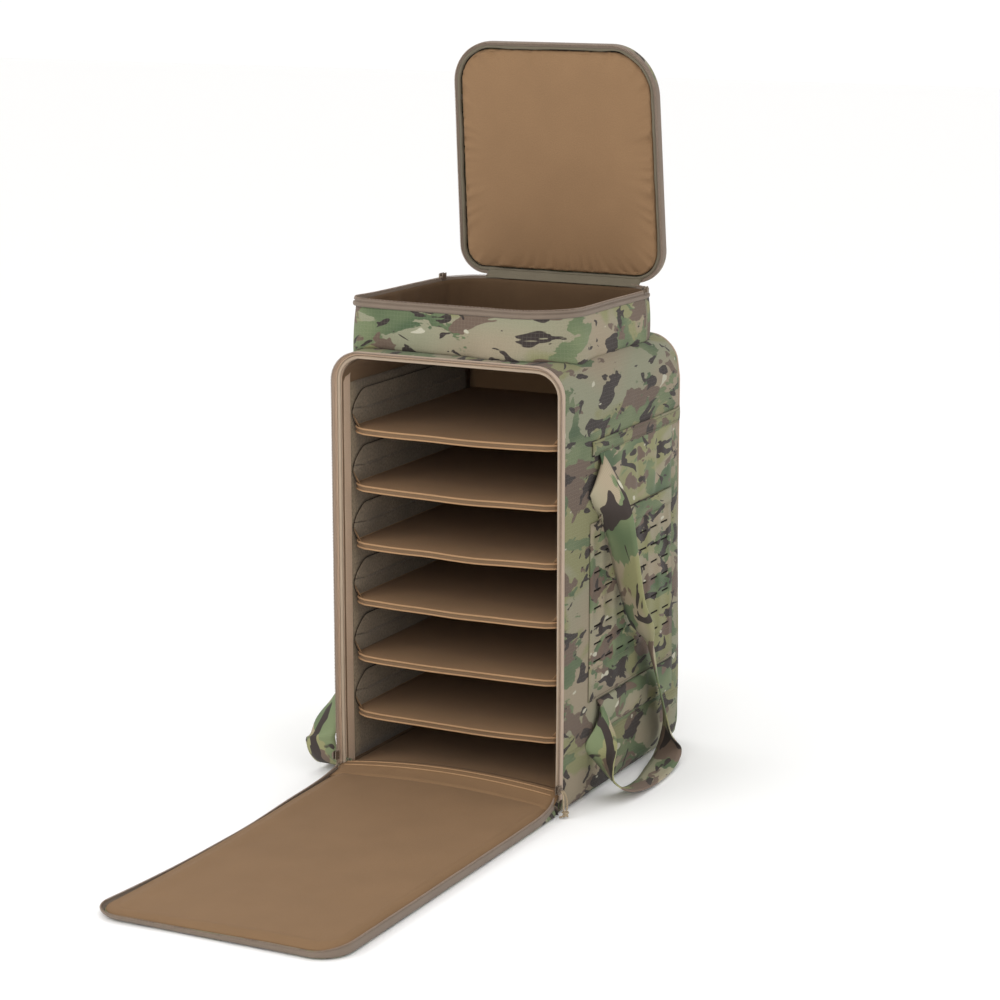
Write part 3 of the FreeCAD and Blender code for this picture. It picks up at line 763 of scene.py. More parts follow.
def patch(name, place, us, vs, material, thickness=1.2 * MM, skip=()):
    """A sewn-on piece over the surface place(u, v). skip holds the (column, row) cells left open."""
    vertices = []
    uvs = []
    for v in vs:
        for u in us:
            vertices.append(place(u, v))
            uvs.append((u, v))
    piece = new_object(name, vertices, quads(len(vs), len(us), skip=skip), uvs, material)
    return solidify(piece, thickness, -1.0)


def scale_uv(piece, pitch):
    """Turn the row numbers of a patch's UVs into lengths."""
    for corner in piece.data.uv_layers[0].data:
        corner.uv.y *= pitch


def spread(low, high, step):
    """Evenly spaced values from low to high, about one step apart."""
    count = max(1, round((high - low) / step))
    return [low + (high - low) * k / count for k in range(count + 1)]


# ------------------------------------------------------------------ the case's body

def puff(y, z, seed):
    """How far the outer cloth stands off its foam: most in the middle, nothing at its two seams."""
    share = clamp((y - FRONT) / (BACK - FRONT))
    middle = sin(pi * share)
    hold = min(1.0, 6 * min(share, 1 - share))
    rumple = ripple(y, z * 0.6, seed, 0.09, 1.5 * MM) + ripple(y * 1.6, z * 0.5, seed + 4, 0.035, 0.6 * MM)
    rear = clamp((y - 20 * MM) / (150 * MM))
    low = clamp((0.42 - z) / 0.32) * min(1.0, z / 0.03)
    return 1.8 * MM * middle + hold * rumple + 6.0 * MM * rear * low


def roll_in(y):
    """The outer cloth draws in towards the back seam."""
    share = max(0.0, (y - (BACK - 46 * MM)) / (46 * MM))
    return 6.5 * MM * share ** 2.6


def side_place(side, y, z, out):
    """A place over the case's right (1) or left (-1) side, out from its cloth."""
    return Vector((side * (HALF + bow(z, 1) + puff(y, z, side) - roll_in(y) + out), y, z))


def sill_rise(x):
    """How far the soft floor edge and the panel's foot stand up in the middle of the opening."""
    return 11 * MM * max(0.0, 1 - (x / (INNER + 1 * MM)) ** 2)


def back_place(x, z, out):
    edge = min(HALF - abs(x), z, TOP - z) - 8 * MM
    crown = 3.0 * MM * eased(max(0.0, edge), 35 * MM)
    return Vector((x, BACK + crown + ripple(x, z, 12, 0.1, 0.8 * MM) + out, z))


def make_body(looks):
    outer = [(-HALF, 0, BASE_BEND), (-HALF, TOP, SHOULDER), (HALF, TOP, SHOULDER), (HALF, 0, BASE_BEND)]
    ring = track(outer, 7 * MM, closed=True)

    def wrap_wobble(sample, j, out, along):
        x, z, nx, nz, _ = sample
        if nz < -0.3:
            return (0.0, 0.0)
        return (puff(along, z, copysign(1, x)) * (abs(nx) + 0.6 * max(0.0, nz)), 0.0)

    section = [(-1.2 * MM, FRONT - 0.6 * MM), (-0.3 * MM, FRONT + 0.4 * MM)]
    section += [(-roll_in(y), y) for y in spread(FRONT + 2 * MM, BACK - 24 * MM, 8 * MM)]
    section += [(-roll_in(y), y) for y in spread(BACK - 20 * MM, BACK - 1 * MM, 2.4 * MM)]
    wrap = sweep("body_wrap", ring, section, in_front, looks["wrap"], closed=True, wobble=wrap_wobble,
                 turned=True)
    finish(wrap, "case_body", ("side_wrap_shell", "bottom_shell", "wall_foam_left",
                 "wall_foam_right", "shoulder_foam", "top_foam", "floor_board"))

    def back_height(x, z, depth):
        return back_place(x, z, 0).y

    back = pillow("body_back", ring, ((0, 0.20), (0, 0.44)), in_front, back_height, looks["back"], rings=26,
                  section=((-6.8 * MM, BACK - 0.6 * MM), (-8.0 * MM, BACK + 0.2 * MM)), even=1.2)
    finish(back, "case_body", ("back_shell", "back_foam"))
    seam = [in_front(s, -6.4 * MM, BACK) for s in ring]
    welt = tube("back_welt", seam, 1.9 * MM, looks["tape"], sides=8, closed=True)
    finish(welt, "case_body")

    lined = INNER
    inside = [(-lined, FLOOR - 4 * MM, 0), (-lined, CEILING, 35 * MM), (lined, CEILING, 35 * MM),
              (lined, FLOOR - 4 * MM, 0)]
    run = track(inside, 9 * MM)

    def lining_wobble(sample, j, out, along):
        hold = min(1.0, (along - FRONT) / (30 * MM))
        inward = ripple(sample[4], along, 5, 0.07, 1.2 * MM) * hold
        return (max(0.0, inward), 0.0)

    cloth = sweep("body_lining", run, [(0.2 * MM, y) for y in spread(FRONT + 1 * MM, REAR, 12 * MM)],
                  in_front, looks["inner"], wobble=lining_wobble, turned=True)
    finish(cloth, "case_body", ("top_lining",))
    deep = spread(FRONT + 22 * MM, REAR - 6 * MM, 20 * MM)
    tall = spread(FLOOR + 2 * MM, CEILING - 38 * MM, 20 * MM)
    for side, name in SIDES:
        pad = patch(f"pile_wall_{name}",
                    lambda y, z: Vector((side * (INNER - 0.3 * MM + bow(z, 1) / 2), y, z)),
                    deep, tall, looks["pile"], 0.9 * MM)
        finish(pad, "case_body", (f"loop_lining_{name}",))

    def rear_wall(x, z):
        beyond = max(0.0, abs(x) - (lined - 40 * MM))
        head = CEILING - 6 * MM - (40 * MM - sqrt(max(0.0, (40 * MM) ** 2 - beyond ** 2)))
        low = FLOOR - 4 * MM
        spot = Vector((x, REAR - 0.8 * MM - abs(ripple(x, z, 8, 0.08, 2 * MM)),
                       low + (z - low) * (head - low) / (CEILING - low)))
        return spot + settle(x, REAR, spot.z)

    rear = patch("rear_lining", rear_wall, spread(-lined, lined, 12 * MM),
                 spread(FLOOR - 4 * MM, CEILING, 12 * MM), looks["lining"], 0.8 * MM)
    finish(rear, "case_body", ("back_lining",))

    inset = 0.8 * MM
    plan = [(lined - inset, REAR - inset, 8 * MM), (lined - inset, FRONT + 6 * MM, 8 * MM),
            (-lined + inset, FRONT + 6 * MM, 8 * MM), (-lined + inset, REAR - inset, 8 * MM)]
    floor_ring = track(plan, 9 * MM, closed=True)

    def floor_height(x, y, depth):
        crown = 2.2 * MM * eased(depth, 20 * MM) + ripple(x, y, 3, 0.06, 0.8 * MM)
        return FLOOR - 1.5 * MM + crown + sill_rise(x) * exp(-(y - FRONT) / 0.07)

    section = ((0, FLOOR - 14 * MM), (0, FLOOR - 4 * MM), (-1.5 * MM, FLOOR - 1.5 * MM))
    pad = pillow("floor_pad_cloth", floor_ring, ((0, -0.02), (0, 0.02)), in_plan, floor_height,
                 looks["lining"], rings=16, section=section)
    finish(pad, "case_body", ("floor_pad",))


def zip_line(name, body, samples, place, looks, at, replaced, axis):
    """A wound coil along a zip track. axis is the direction that stands square to the tape's edge."""
    out, along = at
    centres = [place(s, out, along) for s in samples]
    outs = [(place(s, out + 1 * MM, along) - centre).normalized() for s, centre in zip(samples, centres)]
    coil = zip_coil(name, centres, outs, [Vector(axis)] * len(centres), looks["coil"])
    finish(coil, body, (replaced,))


def zip_edge(part, body, samples, section, place, looks, coil_at, axis):
    """The dark tape round a panel, lid or compartment, with the coil along it."""
    tape = sweep(f"{part}_tape", samples, section, place, looks["dark_tape"], loop=True)
    finish(tape, body, (f"{part}_zip_tape",))
    zip_line(f"{part}_coil", body, samples, place, looks, coil_at, f"{part}_zip_coil", axis)


def make_front_rim(looks):
    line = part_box("body_zip_tape")[1].x
    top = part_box("body_zip_tape")[1].z
    corners = [(-line, 22 * MM, 0), (-line, top, 41 * MM), (line, top, 41 * MM), (line, 22 * MM, 0)]
    run = track(corners, 6 * MM)
    tape = sweep("front_zip_tape", run, [(0.0, FRONT + 3 * MM), (0.15 * MM, FRONT - 4 * MM), (0.0, LIP_FRONT),
                 (-0.9 * MM, LIP_FRONT), (-1.0 * MM, FRONT - 4 * MM), (-1.4 * MM, FRONT + 2 * MM)],
                 in_front, looks["tape"], loop=True)
    finish(tape, "case_body", ("body_zip_tape",))
    zip_line("front_zip_coil", "case_body", run, in_front, looks, (-0.45 * MM, LIP_FRONT - 1.1 * MM),
             "body_zip_coil", (0, -1, 0))
    fold = millimetres((-0.9, -3), (-2.2, -2.6), (-3.4, -1.4), (-5.5, -1.8), (-8.0, -1.2), (-10.2, 1.5),
                       (-11.2, 8), (-12.0, 21))
    facing = sweep("rim_facing", run, [(out, FRONT + back) for out, back in fold], in_front, looks["wall"],
                   turned=True)
    finish(facing, "case_body", ("front_rim",))
    pipe = [in_front(s, -7.6 * MM, FRONT - 1.6 * MM) for s in run]
    piping = tube("rim_piping", pipe, 2.6 * MM, looks["binding"], sides=10)
    finish(piping, "case_body")
    ridge = [in_front(s, -3.6 * MM, FRONT - 2.2 * MM) for s in run]
    cordline = tube("rim_ridge", ridge, 1.3 * MM, looks["wall"], sides=8)
    finish(cordline, "case_body")
    seam = [in_front(s, -5.4 * MM, FRONT - 2.3 * MM) for s in run]
    row = stitch_row("rim_stitches", [seam], lambda p: Vector((0, -1, 0)), looks["thread"])
    finish(row, "case_body")


def make_sill(looks):
    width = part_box("front_sill")[1].x
    profile = millimetres((-190, 21), (-194, 22.5), (-200, 20.5), (-206, 19.6), (-209, 17), (-209.5, 10),
                          (-209, 3), (-206, 1))
    sill = patch("front_sill_cloth", lambda x, k: Vector((x, *profile[k])),
                 spread(-width - 9 * MM, width + 9 * MM, 12 * MM), range(len(profile)), looks["panel"],
                 0.8 * MM)
    scale_uv(sill, 7 * MM)
    finish(sill, "case_body", ("front_sill",))
    for side, name in SIDES:
        corner = patch(f"foot_corner_{name}", lambda share, z: foot_corner(side, share, z),
                       spread(0, 1, 0.25), spread(0.8 * MM, 32 * MM, 2.6 * MM), looks["panel"], 0.7 * MM)
        finish(corner, "case_body")
    finish_hinge(looks, width)


def foot_corner(side, share, z):
    """The front of the body's foot, from the sill's end out to the rounded bottom corner."""
    rise = max(0.0, BASE_BEND - z)
    edge = HALF - BASE_BEND + sqrt(max(0.0, BASE_BEND ** 2 - rise ** 2)) - 0.8 * MM
    start = INNER - 8 * MM
    return Vector((side * (start + share * (edge - start)), FRONT - 0.4 * MM, z))


def finish_hinge(looks, width):
    profile = [(-186, 25.0), (-192, 26.4), (-198, 27.2), (-204, 26.6), (-209, 25.2), (-212, 23.8),
               (-215, 22.6), (-220, 20.8), (-228, 19.2), (-238, 17.3)]

    def place(x, k, lift=0.0):
        low, high = profile[int(k)], profile[min(int(k) + 1, len(profile) - 1)]
        y = low[0] + (high[0] - low[0]) * (k % 1)
        z = low[1] + (high[1] - low[1]) * (k % 1)
        beyond = max(0.0, abs(x) - width)
        z -= 0.5 * beyond / MM
        bend = 6.0 * (1 - (x / width) ** 2)
        tilt = (0.8 + 1.8 * x / width + 2.6 * max(0.0, x / width) ** 2) * max(0.0, 1 - k / 8)
        rise = (0.92 - 0.2 * k / (len(profile) - 1)) * sill_rise(x)
        return Vector((x, (y + bend) * MM, (z + lift + tilt) * MM + rise))

    cloth = patch("panel_hinge_cloth", place, spread(-width - 8 * MM, width + 8 * MM, 10 * MM),
                  list(range(len(profile))), looks["panel_lining"], 0.7 * MM)
    scale_uv(cloth, 6 * MM)
    finish(cloth, None, ("panel_hinge_welt",))
    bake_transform(cloth)
    for number, (k, body) in enumerate(((2.4, "case_body"), (4.2, "front_panel"))):
        line = [place(x, k, 0.6) for x in spread(-width + 2 * MM, width - 2 * MM, 10 * MM)]
        piping = tube(f"hinge_piping_{number + 1}", line, 0.95 * MM, looks["lining_edge"], sides=8)
        finish(piping, body)


# ------------------------------------------------------------------ the front panel

def laid(spot):
    """The panel as it lies: thinner towards its far left corner, with its left edge drawn in."""
    far = clamp((-0.35 - spot.y) / 0.40)
    left = clamp((0.08 - spot.x) / 0.26)
    spot.z *= 1 - 0.5 * far * left
    spot.x += 9 * MM * left * sin(pi * clamp((PANEL_NEAR - spot.y) / 0.6))
    return spot


def make_panel(looks):
    half = HALF
    plan = [(half, PANEL_NEAR, 5 * MM), (half, PANEL_FAR, 42 * MM), (-half, PANEL_FAR, 42 * MM),
            (-half, PANEL_NEAR, 5 * MM)]
    ring = track(plan, 8 * MM, closed=True)
    spine = ((0, -0.64), (0, -0.39))

    def raised(sample, out, along):
        """A place in plan, lifted with the soft foot of the panel where it meets the sill."""
        spot = in_plan(sample, out, along)
        foot = exp(-max(0.0, PANEL_NEAR - spot.y) / 0.075)
        spot.z += 0.85 * sill_rise(spot.x) * foot * min(1.0, along / (18 * MM))
        return laid(spot)

    side = millimetres((-5, 11), (-2.4, 10.5), (-1.6, 8), (-1.2, 5), (-2.0, 2), (-4.0, 0.7), (-8, 0.3))
    shell = pillow("panel_cloth", ring, spine, raised, lambda x, y, depth: 0.3 * MM, looks["panel"],
                   rings=10, section=side)
    finish(shell, "front_panel", ("panel_shell", "panel_board"))

    def crown(x, y, depth):
        rise = eased(depth, 45 * MM)
        swell = ripple(x, y, 21, 0.16, 1.6 * MM) + ripple(x, y, 23, 0.06, 0.6 * MM)
        left = 3.6 * MM * exp(-((x + HALF - 26 * MM) / (20 * MM)) ** 2) * min(1.0, depth / (10 * MM))
        return 18.6 * MM + 2.4 * MM * rise + swell * rise + left

    foot_ring = track([(half, PANEL_NEAR, 26 * MM), (half, PANEL_FAR, 42 * MM), (-half, PANEL_FAR, 42 * MM),
                       (-half, PANEL_NEAR, 26 * MM)], 8 * MM, closed=True)
    side = millimetres((-3.2, 9.0), (-2.6, 11.2), (-3.6, 12.8), (-8, 15.4), (-13, 17.8), (-14.5, 18.3),
                       (-17, 18.6))
    lining = pillow("panel_pad", foot_ring, spine, raised, crown, looks["panel_lining"], rings=34,
                    even=1.2, section=side)
    finish(lining, "front_panel", ("panel_lining", "panel_foam"))

    line = half - 0.6 * MM
    far = PANEL_FAR + 0.6 * MM
    run = track([(line, PANEL_NEAR, 0), (line, far, 42 * MM), (-line, far, 42 * MM), (-line, PANEL_NEAR, 0)],
                6 * MM)

    def lift(sample, j, out, along):
        far = exp(-((sample[0] + 0.15) ** 2 + (sample[1] + 0.79) ** 2) / (2 * 0.05 ** 2))
        high = max(0.0, (along - 5 * MM) / (13 * MM))
        side = exp(-((sample[1] + 0.5) / 0.2) ** 2) * (2.0 if sample[0] < -0.15 else 0.3)
        wave = ripple(sample[4], 0, 31, 0.12, 1.2 * MM)
        near = abs(sample[2]) * exp(-(PANEL_NEAR - sample[1]) / 0.022)
        curl = 12.0 * MM * near * (0.3 + 0.7 * min(1.0, high))
        edge = max(0.0, -sample[3]) ** 2 * max(0.0, along - 2 * MM) * 0.42 * (1 - 0.8 * far)
        flare = 5.0 * MM * far * clamp((along - 2 * MM) / (10 * MM))
        return (flare - 5.0 * MM * near, ((2.0 * far - 2.5 * side) * MM + wave) * high + curl - edge)

    def curled(sample, out, along):
        shift = lift(sample, 0, out, along)
        return laid(in_plan(sample, out + shift[0], along + shift[1]))

    edge = millimetres((-1.4, 1.8), (-0.2, 3.2), (0.6, 8), (0.4, 12), (0.2, 15.2), (-0.7, 15.2),
                       (-0.6, 12), (-0.8, 8), (-1.6, 3.4))
    zip_edge("panel", "front_panel", run, edge, curled, looks, (-0.25 * MM, 16.0 * MM), (0, 0, 1))


# ------------------------------------------------------------------ the top compartment and its lid

def top_height(x):
    """The height of the case's top at a distance from its middle, over the round shoulders."""
    beyond = abs(x) - (HALF - SHOULDER)
    if beyond <= 0:
        return TOP
    return TOP - SHOULDER + sqrt(max(0.0, SHOULDER ** 2 - beyond ** 2))


# corner radii of the compartment and of the lid, from the right rear round the front to the left rear
TIER_BENDS = (66 * MM, 72 * MM, 26 * MM, 74 * MM)
LID_BENDS = (48 * MM, 72 * MM, 58 * MM, 40 * MM)
TIER_RIGHT = TIER_HALF - 9 * MM
ZIP_END = 90 * MM


def tier_plan(bends, step=6 * MM):
    corners = [(TIER_RIGHT, TIER_BACK), (TIER_RIGHT, TIER_FRONT), (-TIER_HALF, TIER_FRONT),
               (-TIER_HALF, TIER_BACK)]
    return track([(x, y, bend) for (x, y), bend in zip(corners, bends)], step, closed=True)


def zip_plan(bends, inset=0.6 * MM):
    half, front, back = TIER_HALF - inset, TIER_FRONT + inset, TIER_BACK - inset
    right = TIER_RIGHT - inset
    corners = [(ZIP_END, back, 0), (right, back, bends[0]), (right, front, bends[1]),
               (-half, front, bends[2]), (-half, back, bends[3]), (-ZIP_END, back, 0)]
    return track(corners, 6 * MM)


def rear_draw(x):
    """How far the compartment's rounded rear corner lies in front of its straight back."""
    bend = TIER_BENDS[0]
    beyond = max(0.0, abs(x) - (TIER_HALF - bend))
    return bend - sqrt(max(0.0, bend ** 2 - beyond ** 2))


def make_tier(looks):
    ring = tier_plan(TIER_BENDS)
    bend_from = 652 * MM

    def dipped(sample, out, along):
        """A place in plan, lowered where the rim dips towards the hinge."""
        spot = in_plan(sample, out, along)
        share = clamp((spot.y - TIER_FRONT) / (TIER_BACK - TIER_FRONT))
        high = clamp((along - bend_from) / (30 * MM))
        spot.z -= 4.0 * MM * share ** 1.5 * high
        return spot

    def place(sample, out, along):
        spot = dipped(sample, out, along)
        if along < bend_from:
            share = (bend_from - along) / (bend_from - TOP)
            foot = top_height(spot.x) + settle(spot.x, spot.y, TOP).z
            spot.z = bend_from - share * (bend_from - foot)
        return spot

    def pucker(sample, j, out, along):
        low = clamp((TIER_RIM - along) / (TIER_RIM - TOP))
        front = max(0.0, -sample[3])
        gather = ripple(sample[4], along * 0.5, 41, 0.045, 6.5 * MM) * low ** 1.3 * (0.25 + front)
        belly = clamp((sample[0] + 20 * MM) / (80 * MM))
        roll = (4.0 + 11.0 * belly) * MM * front * low ** 2
        return (gather + roll + ripple(sample[4], along, 43, 0.1, 1.0 * MM) * low, 0.0)

    section = millimetres((-1.6, 683.6), (-0.5, 684.6), (0.3, 683), (1.0, 678), (1.9, 670), (2.7, 661),
                          (3.3, 652), (3.6, 645), (3.6, 638), (3.4, 632), (2.8, 627), (1.6, 623.4),
                          (-1.5, 621.5), (-6, 621.2))
    cloth = sweep("tier_cloth", ring, section, place, looks["tier"], closed=True, wobble=pucker)
    smooth_more(cloth)
    finish(cloth, "case_body", ("tier_shell", "tier_foam"))
    inside = millimetres((-1.2, 684.2), (-3.4, 685.2), (-6.0, 684.2), (-6.8, 680), (-7.0, 668),
                         (-6.6, 650), (-6.6, 636), (-6.6, 625))

    def slack(sample, j, out, along):
        low = clamp((TIER_RIM - along) / (20 * MM))
        fold = abs(ripple(sample[4], along * 0.3, 47, 0.030, 7.0 * MM)) + 1.0 * MM
        return (-fold * low, 0.0)

    # the lining takes the darkened cloth: painted shade from the lid over the compartment
    lining = sweep("tier_inner", ring, inside, dipped, looks["deep"], closed=True, wobble=slack)
    finish(lining, "case_body", ("tier_lining",))

    def floor_height(x, y, depth):
        return 625.4 * MM + 2.0 * MM * eased(depth, 30 * MM) + ripple(x, y, 9, 0.07, 0.8 * MM)

    floor = pillow("tier_base", ring, ((0, -0.01), (0, 0.01)), in_plan, floor_height, looks["inner"],
                   rings=14, section=millimetres((-6.4, 623), (-7.5, 625.4)))
    finish(floor, "case_body", ("tier_floor",))

    run = zip_plan(TIER_BENDS)

    def jut(sample, out, along):
        corner = exp(-((sample[0] + 0.16) ** 2 + (sample[1] + 0.163) ** 2) / (2 * 0.03 ** 2))
        wave = ripple(sample[4], 0, 51, 0.08, 0.7 * MM)
        return dipped(sample, out + 3.0 * MM * corner, along + 1.5 * MM * corner + wave)

    edge = millimetres((2.0, 678.0), (3.0, 679.6), (3.2, 681.6), (2.5, 683.4), (0.3, 684.2), (0.1, 685.4),
                       (1.6, 686.6), (1.2, 688.6), (-0.8, 688.8), (-0.9, 686), (-1.4, 683.6))
    zip_edge("tier", "case_body", run, edge, jut, looks, (-0.35 * MM, 689.4 * MM), (0, 0, 1))


def opened(spot):
    """A place on the closed lid, carried to where the lid stands open."""
    turn = Matrix.Rotation(LID_STANDS, 3, "X")
    return LID_AXIS + turn @ (spot - LID_AXIS)


def on_lid(sample, out, along):
    """A place on the lid's plan: its free right corner is drawn in, and its hinge edge hangs lower."""
    spot = in_plan(sample, out, along)
    free = clamp((TIER_BACK - spot.y) / (TIER_BACK - TIER_FRONT))
    if spot.x > 0:
        spot.x -= 7 * MM * free * spot.x / TIER_RIGHT
    else:
        spot.x += 3 * MM * (1 - free) * spot.x / TIER_HALF
    spot.y += 7 * MM * (1 - free)
    return opened(spot)


def make_lid(looks):
    ring = tier_plan(LID_BENDS)
    spine = ((0, -0.02), (0, 0.014))

    def crown(x, y, depth):
        return 711 * MM + 2.2 * MM * eased(depth, 40 * MM) + ripple(x, y, 61, 0.09, 0.8 * MM)

    side = millimetres((-2.5, 695.0), (-0.6, 695.2), (0.1, 697), (0.6, 702), (0.1, 706.5), (-2.0, 709.6),
                       (-6.5, 710.8))
    shell = pillow("lid_cloth", ring, spine, on_lid, crown, looks["lid"], rings=18, section=side)
    finish(shell, "lid", ("lid_shell", "lid_padding"))

    def gathered(x, y, depth):
        edge = exp(-depth / (11 * MM))
        angle = atan2(y, x)
        gather = noise.noise(Vector((cos(angle) * 17, sin(angle) * 17, 7))) * 6.0 * MM * edge
        return 695.2 * MM - 4.6 * MM * eased(depth, 17 * MM) + gather + ripple(x, y, 63, 0.1, 1.0 * MM)

    def scalloped(sample, out, along):
        loose = noise.noise(Vector((sample[4] / (6 * MM), 0, 5))) if sample[4] else 0.0
        return on_lid(sample, out + 1.2 * MM * loose, along)

    fine = tier_plan(LID_BENDS, 3 * MM)
    lining = pillow("lid_pad", fine, spine, scalloped, gathered, looks["lining"], rings=34, even=1.3,
                    section=millimetres((-10.2, 700), (-11.0, 696.6), (-12.4, 695.2)))
    finish(lining, "lid", ("lid_lining",))

    def slack(sample, j, out, along):
        return (ripple(sample[4], j * 2 * MM, 65, 0.03, 1.4 * MM) * (1 if j > 2 else 0.2), 0.0)

    fold = millimetres((-1.6, 697), (-4.4, 695.2), (-4.8, 694.0), (-6.0, 693.4), (-7.6, 693.6),
                       (-8.6, 694.8), (-8.9, 698))
    binding = sweep("lid_binding", fine, fold, on_lid, looks["olive_tape"], closed=True, wobble=slack)
    finish(binding, "lid")
    run = zip_plan(LID_BENDS)

    def wavy(sample, out, along):
        return on_lid(sample, out, along + ripple(sample[4], 0, 67, 0.1, 0.5 * MM))

    edge = millimetres((0.2, 708.2), (1.0, 706.6), (1.3, 702), (1.1, 697.5), (0.6, 694.6), (0.0, 693.6),
                       (-1.2, 693.6), (-4.6, 694.6), (-4.7, 695.6), (-1.0, 695.0), (-0.2, 697.5),
                       (0.3, 702), (0.0, 706.0))
    down = opened(LID_AXIS + Vector((0, 0, -1))) - LID_AXIS
    zip_edge("lid", "lid", run, edge, wavy, looks, (-0.35 * MM, 692.9 * MM), tuple(down))

    inner = hinge_line(((159.2, 682.5), (159.8, 684.2), (161.8, 686.6), (164.6, 688.8)),
                       ((165.6, 693.0), (164.6, 692.8)))
    strip_cloth("lid_hinge_inner", inner, 0.124, looks["olive_tape"], ("lid_hinge_welt",))
    outer = hinge_line(((166.8, 672), (167.6, 680), (168.6, 687)), ((166.8, 698), (166.9, 703), (166.2, 707)))
    strip_cloth("lid_hinge_outer", outer, 0.118, looks["tier"], ())


def hinge_line(on_case, on_shut_lid):
    """A line in the YZ plane, in millimetres, that runs up the case and on to the standing lid."""
    line = [Vector((0, *place)) for place in millimetres(*on_case)]
    line += [opened(Vector((0, *place))) for place in millimetres(*on_shut_lid)]
    return smooth_line(line, 4)


def strip_cloth(name, line, half, material, replaced):
    """Cloth that joins the lid to the case: a line carried from side to side, bent with the hinge."""
    lengths = [0.0]
    for a, b in zip(line, line[1:]):
        lengths.append(lengths[-1] + (b - a).length)

    def place(x, v):
        k = min(range(len(lengths)), key=lambda i: abs(lengths[i] - v))
        bunch = ripple(x, v, 71, 0.014, 2.6 * MM) * (abs(x) / half) ** 3
        below = clamp((LID_AXIS.z + 4 * MM - line[k].z) / (6 * MM))
        return Vector((x, line[k].y + bunch - 0.8 * rear_draw(x) * below, line[k].z + 0.4 * bunch))

    piece = patch(name, place, spread(-half, half, 6 * MM), lengths, material, 0.8 * MM)
    finish(piece, None, replaced)
    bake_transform(piece)


# ------------------------------------------------------------------ shelves

def make_shelf(number, looks):
    low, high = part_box(f"shelf_{number}")
    body = f"shelf_tray_{number}"
    base, half, front, back = low.z, high.x, low.y, high.y
    thick = 8 * MM
    flat = half - 2.6 * MM
    cut = 14 * MM
    plan = [(flat, back, 6 * MM), (flat, front + cut, 6 * MM), (flat - cut, front, 7 * MM),
            (-flat + cut, front, 7 * MM), (-flat, front + cut, 6 * MM), (-flat, back, 6 * MM)]
    ring = track(plan, 6 * MM, closed=True)

    def sag(x, y):
        forward = max(0.0, (back - y) / (back - front))
        droop = (1 - (x / flat) ** 2) * (3.4 + 1.4 * noise.noise(Vector((number, 2, 0)))) * MM
        wave = noise.noise(Vector((x / 0.08, number * 3.1, 0))) * 1.6 * MM
        return -(droop + wave) * forward ** 2

    def sagged(sample, out, along):
        spot = in_plan(sample, out, along)
        spot.z += sag(spot.x, spot.y)
        return spot

    middle = base + thick / 2
    round_edge = [(-0.6, -4.3), (0.2, -2.6), (0.5, 0), (0.2, 2.6), (-0.8, 4.2)]
    edge_section = [(o * MM, middle + z * MM) for o, z in round_edge]

    def crown(x, y, depth):
        rise = eased(depth, 16 * MM)
        return middle + 4.2 * MM + 1.0 * MM * rise + ripple(x, y, number, 0.07, 0.7 * MM) * rise

    def hollow(x, y, depth):
        return middle - 4.2 * MM - 0.6 * MM * eased(depth, 16 * MM)

    spine = ((0, -0.01), (0, 0.01))
    top = pillow(f"shelf_{number}_pad", ring, spine, sagged, crown, looks["lining"], rings=16,
                 section=edge_section, even=1.3)
    under = pillow(f"shelf_{number}_under", ring, spine, sagged, hollow, looks["lining"], rings=8,
                   section=(edge_section[0],), even=1.3)
    top.data = join_meshes(top, under)
    finish(top, body, (f"shelf_{number}",))

    open_ring = [s for s in ring if s[1] < back - 20 * MM]

    def gap_before(i):
        return dist(open_ring[i][:2], open_ring[i - 1][:2])

    start = max(range(len(open_ring)), key=gap_before)
    open_ring = open_ring[start:] + open_ring[:start]
    pipes = []
    for height, radius in ((3.6, 1.35), (-3.4, 1.25)):
        line = [sagged(s, 0.6 * MM, middle + height * MM) for s in open_ring]
        pipes.append(tube("pipe", line, radius * MM, looks["lining_edge"], sides=8))
    band = sweep("band", open_ring, [(0.5 * MM, middle + z * MM) for z in (-3.2, -1.6, 0, 1.6, 3.2)], sagged,
                 looks["inner"])
    edge = joined(f"shelf_{number}_edge", pipes + [band])
    finish(edge, body)

    for side, name in SIDES:
        make_wing(f"shelf_{number}_wing_{name}", body, side, base, high.z, half, front, back, looks)


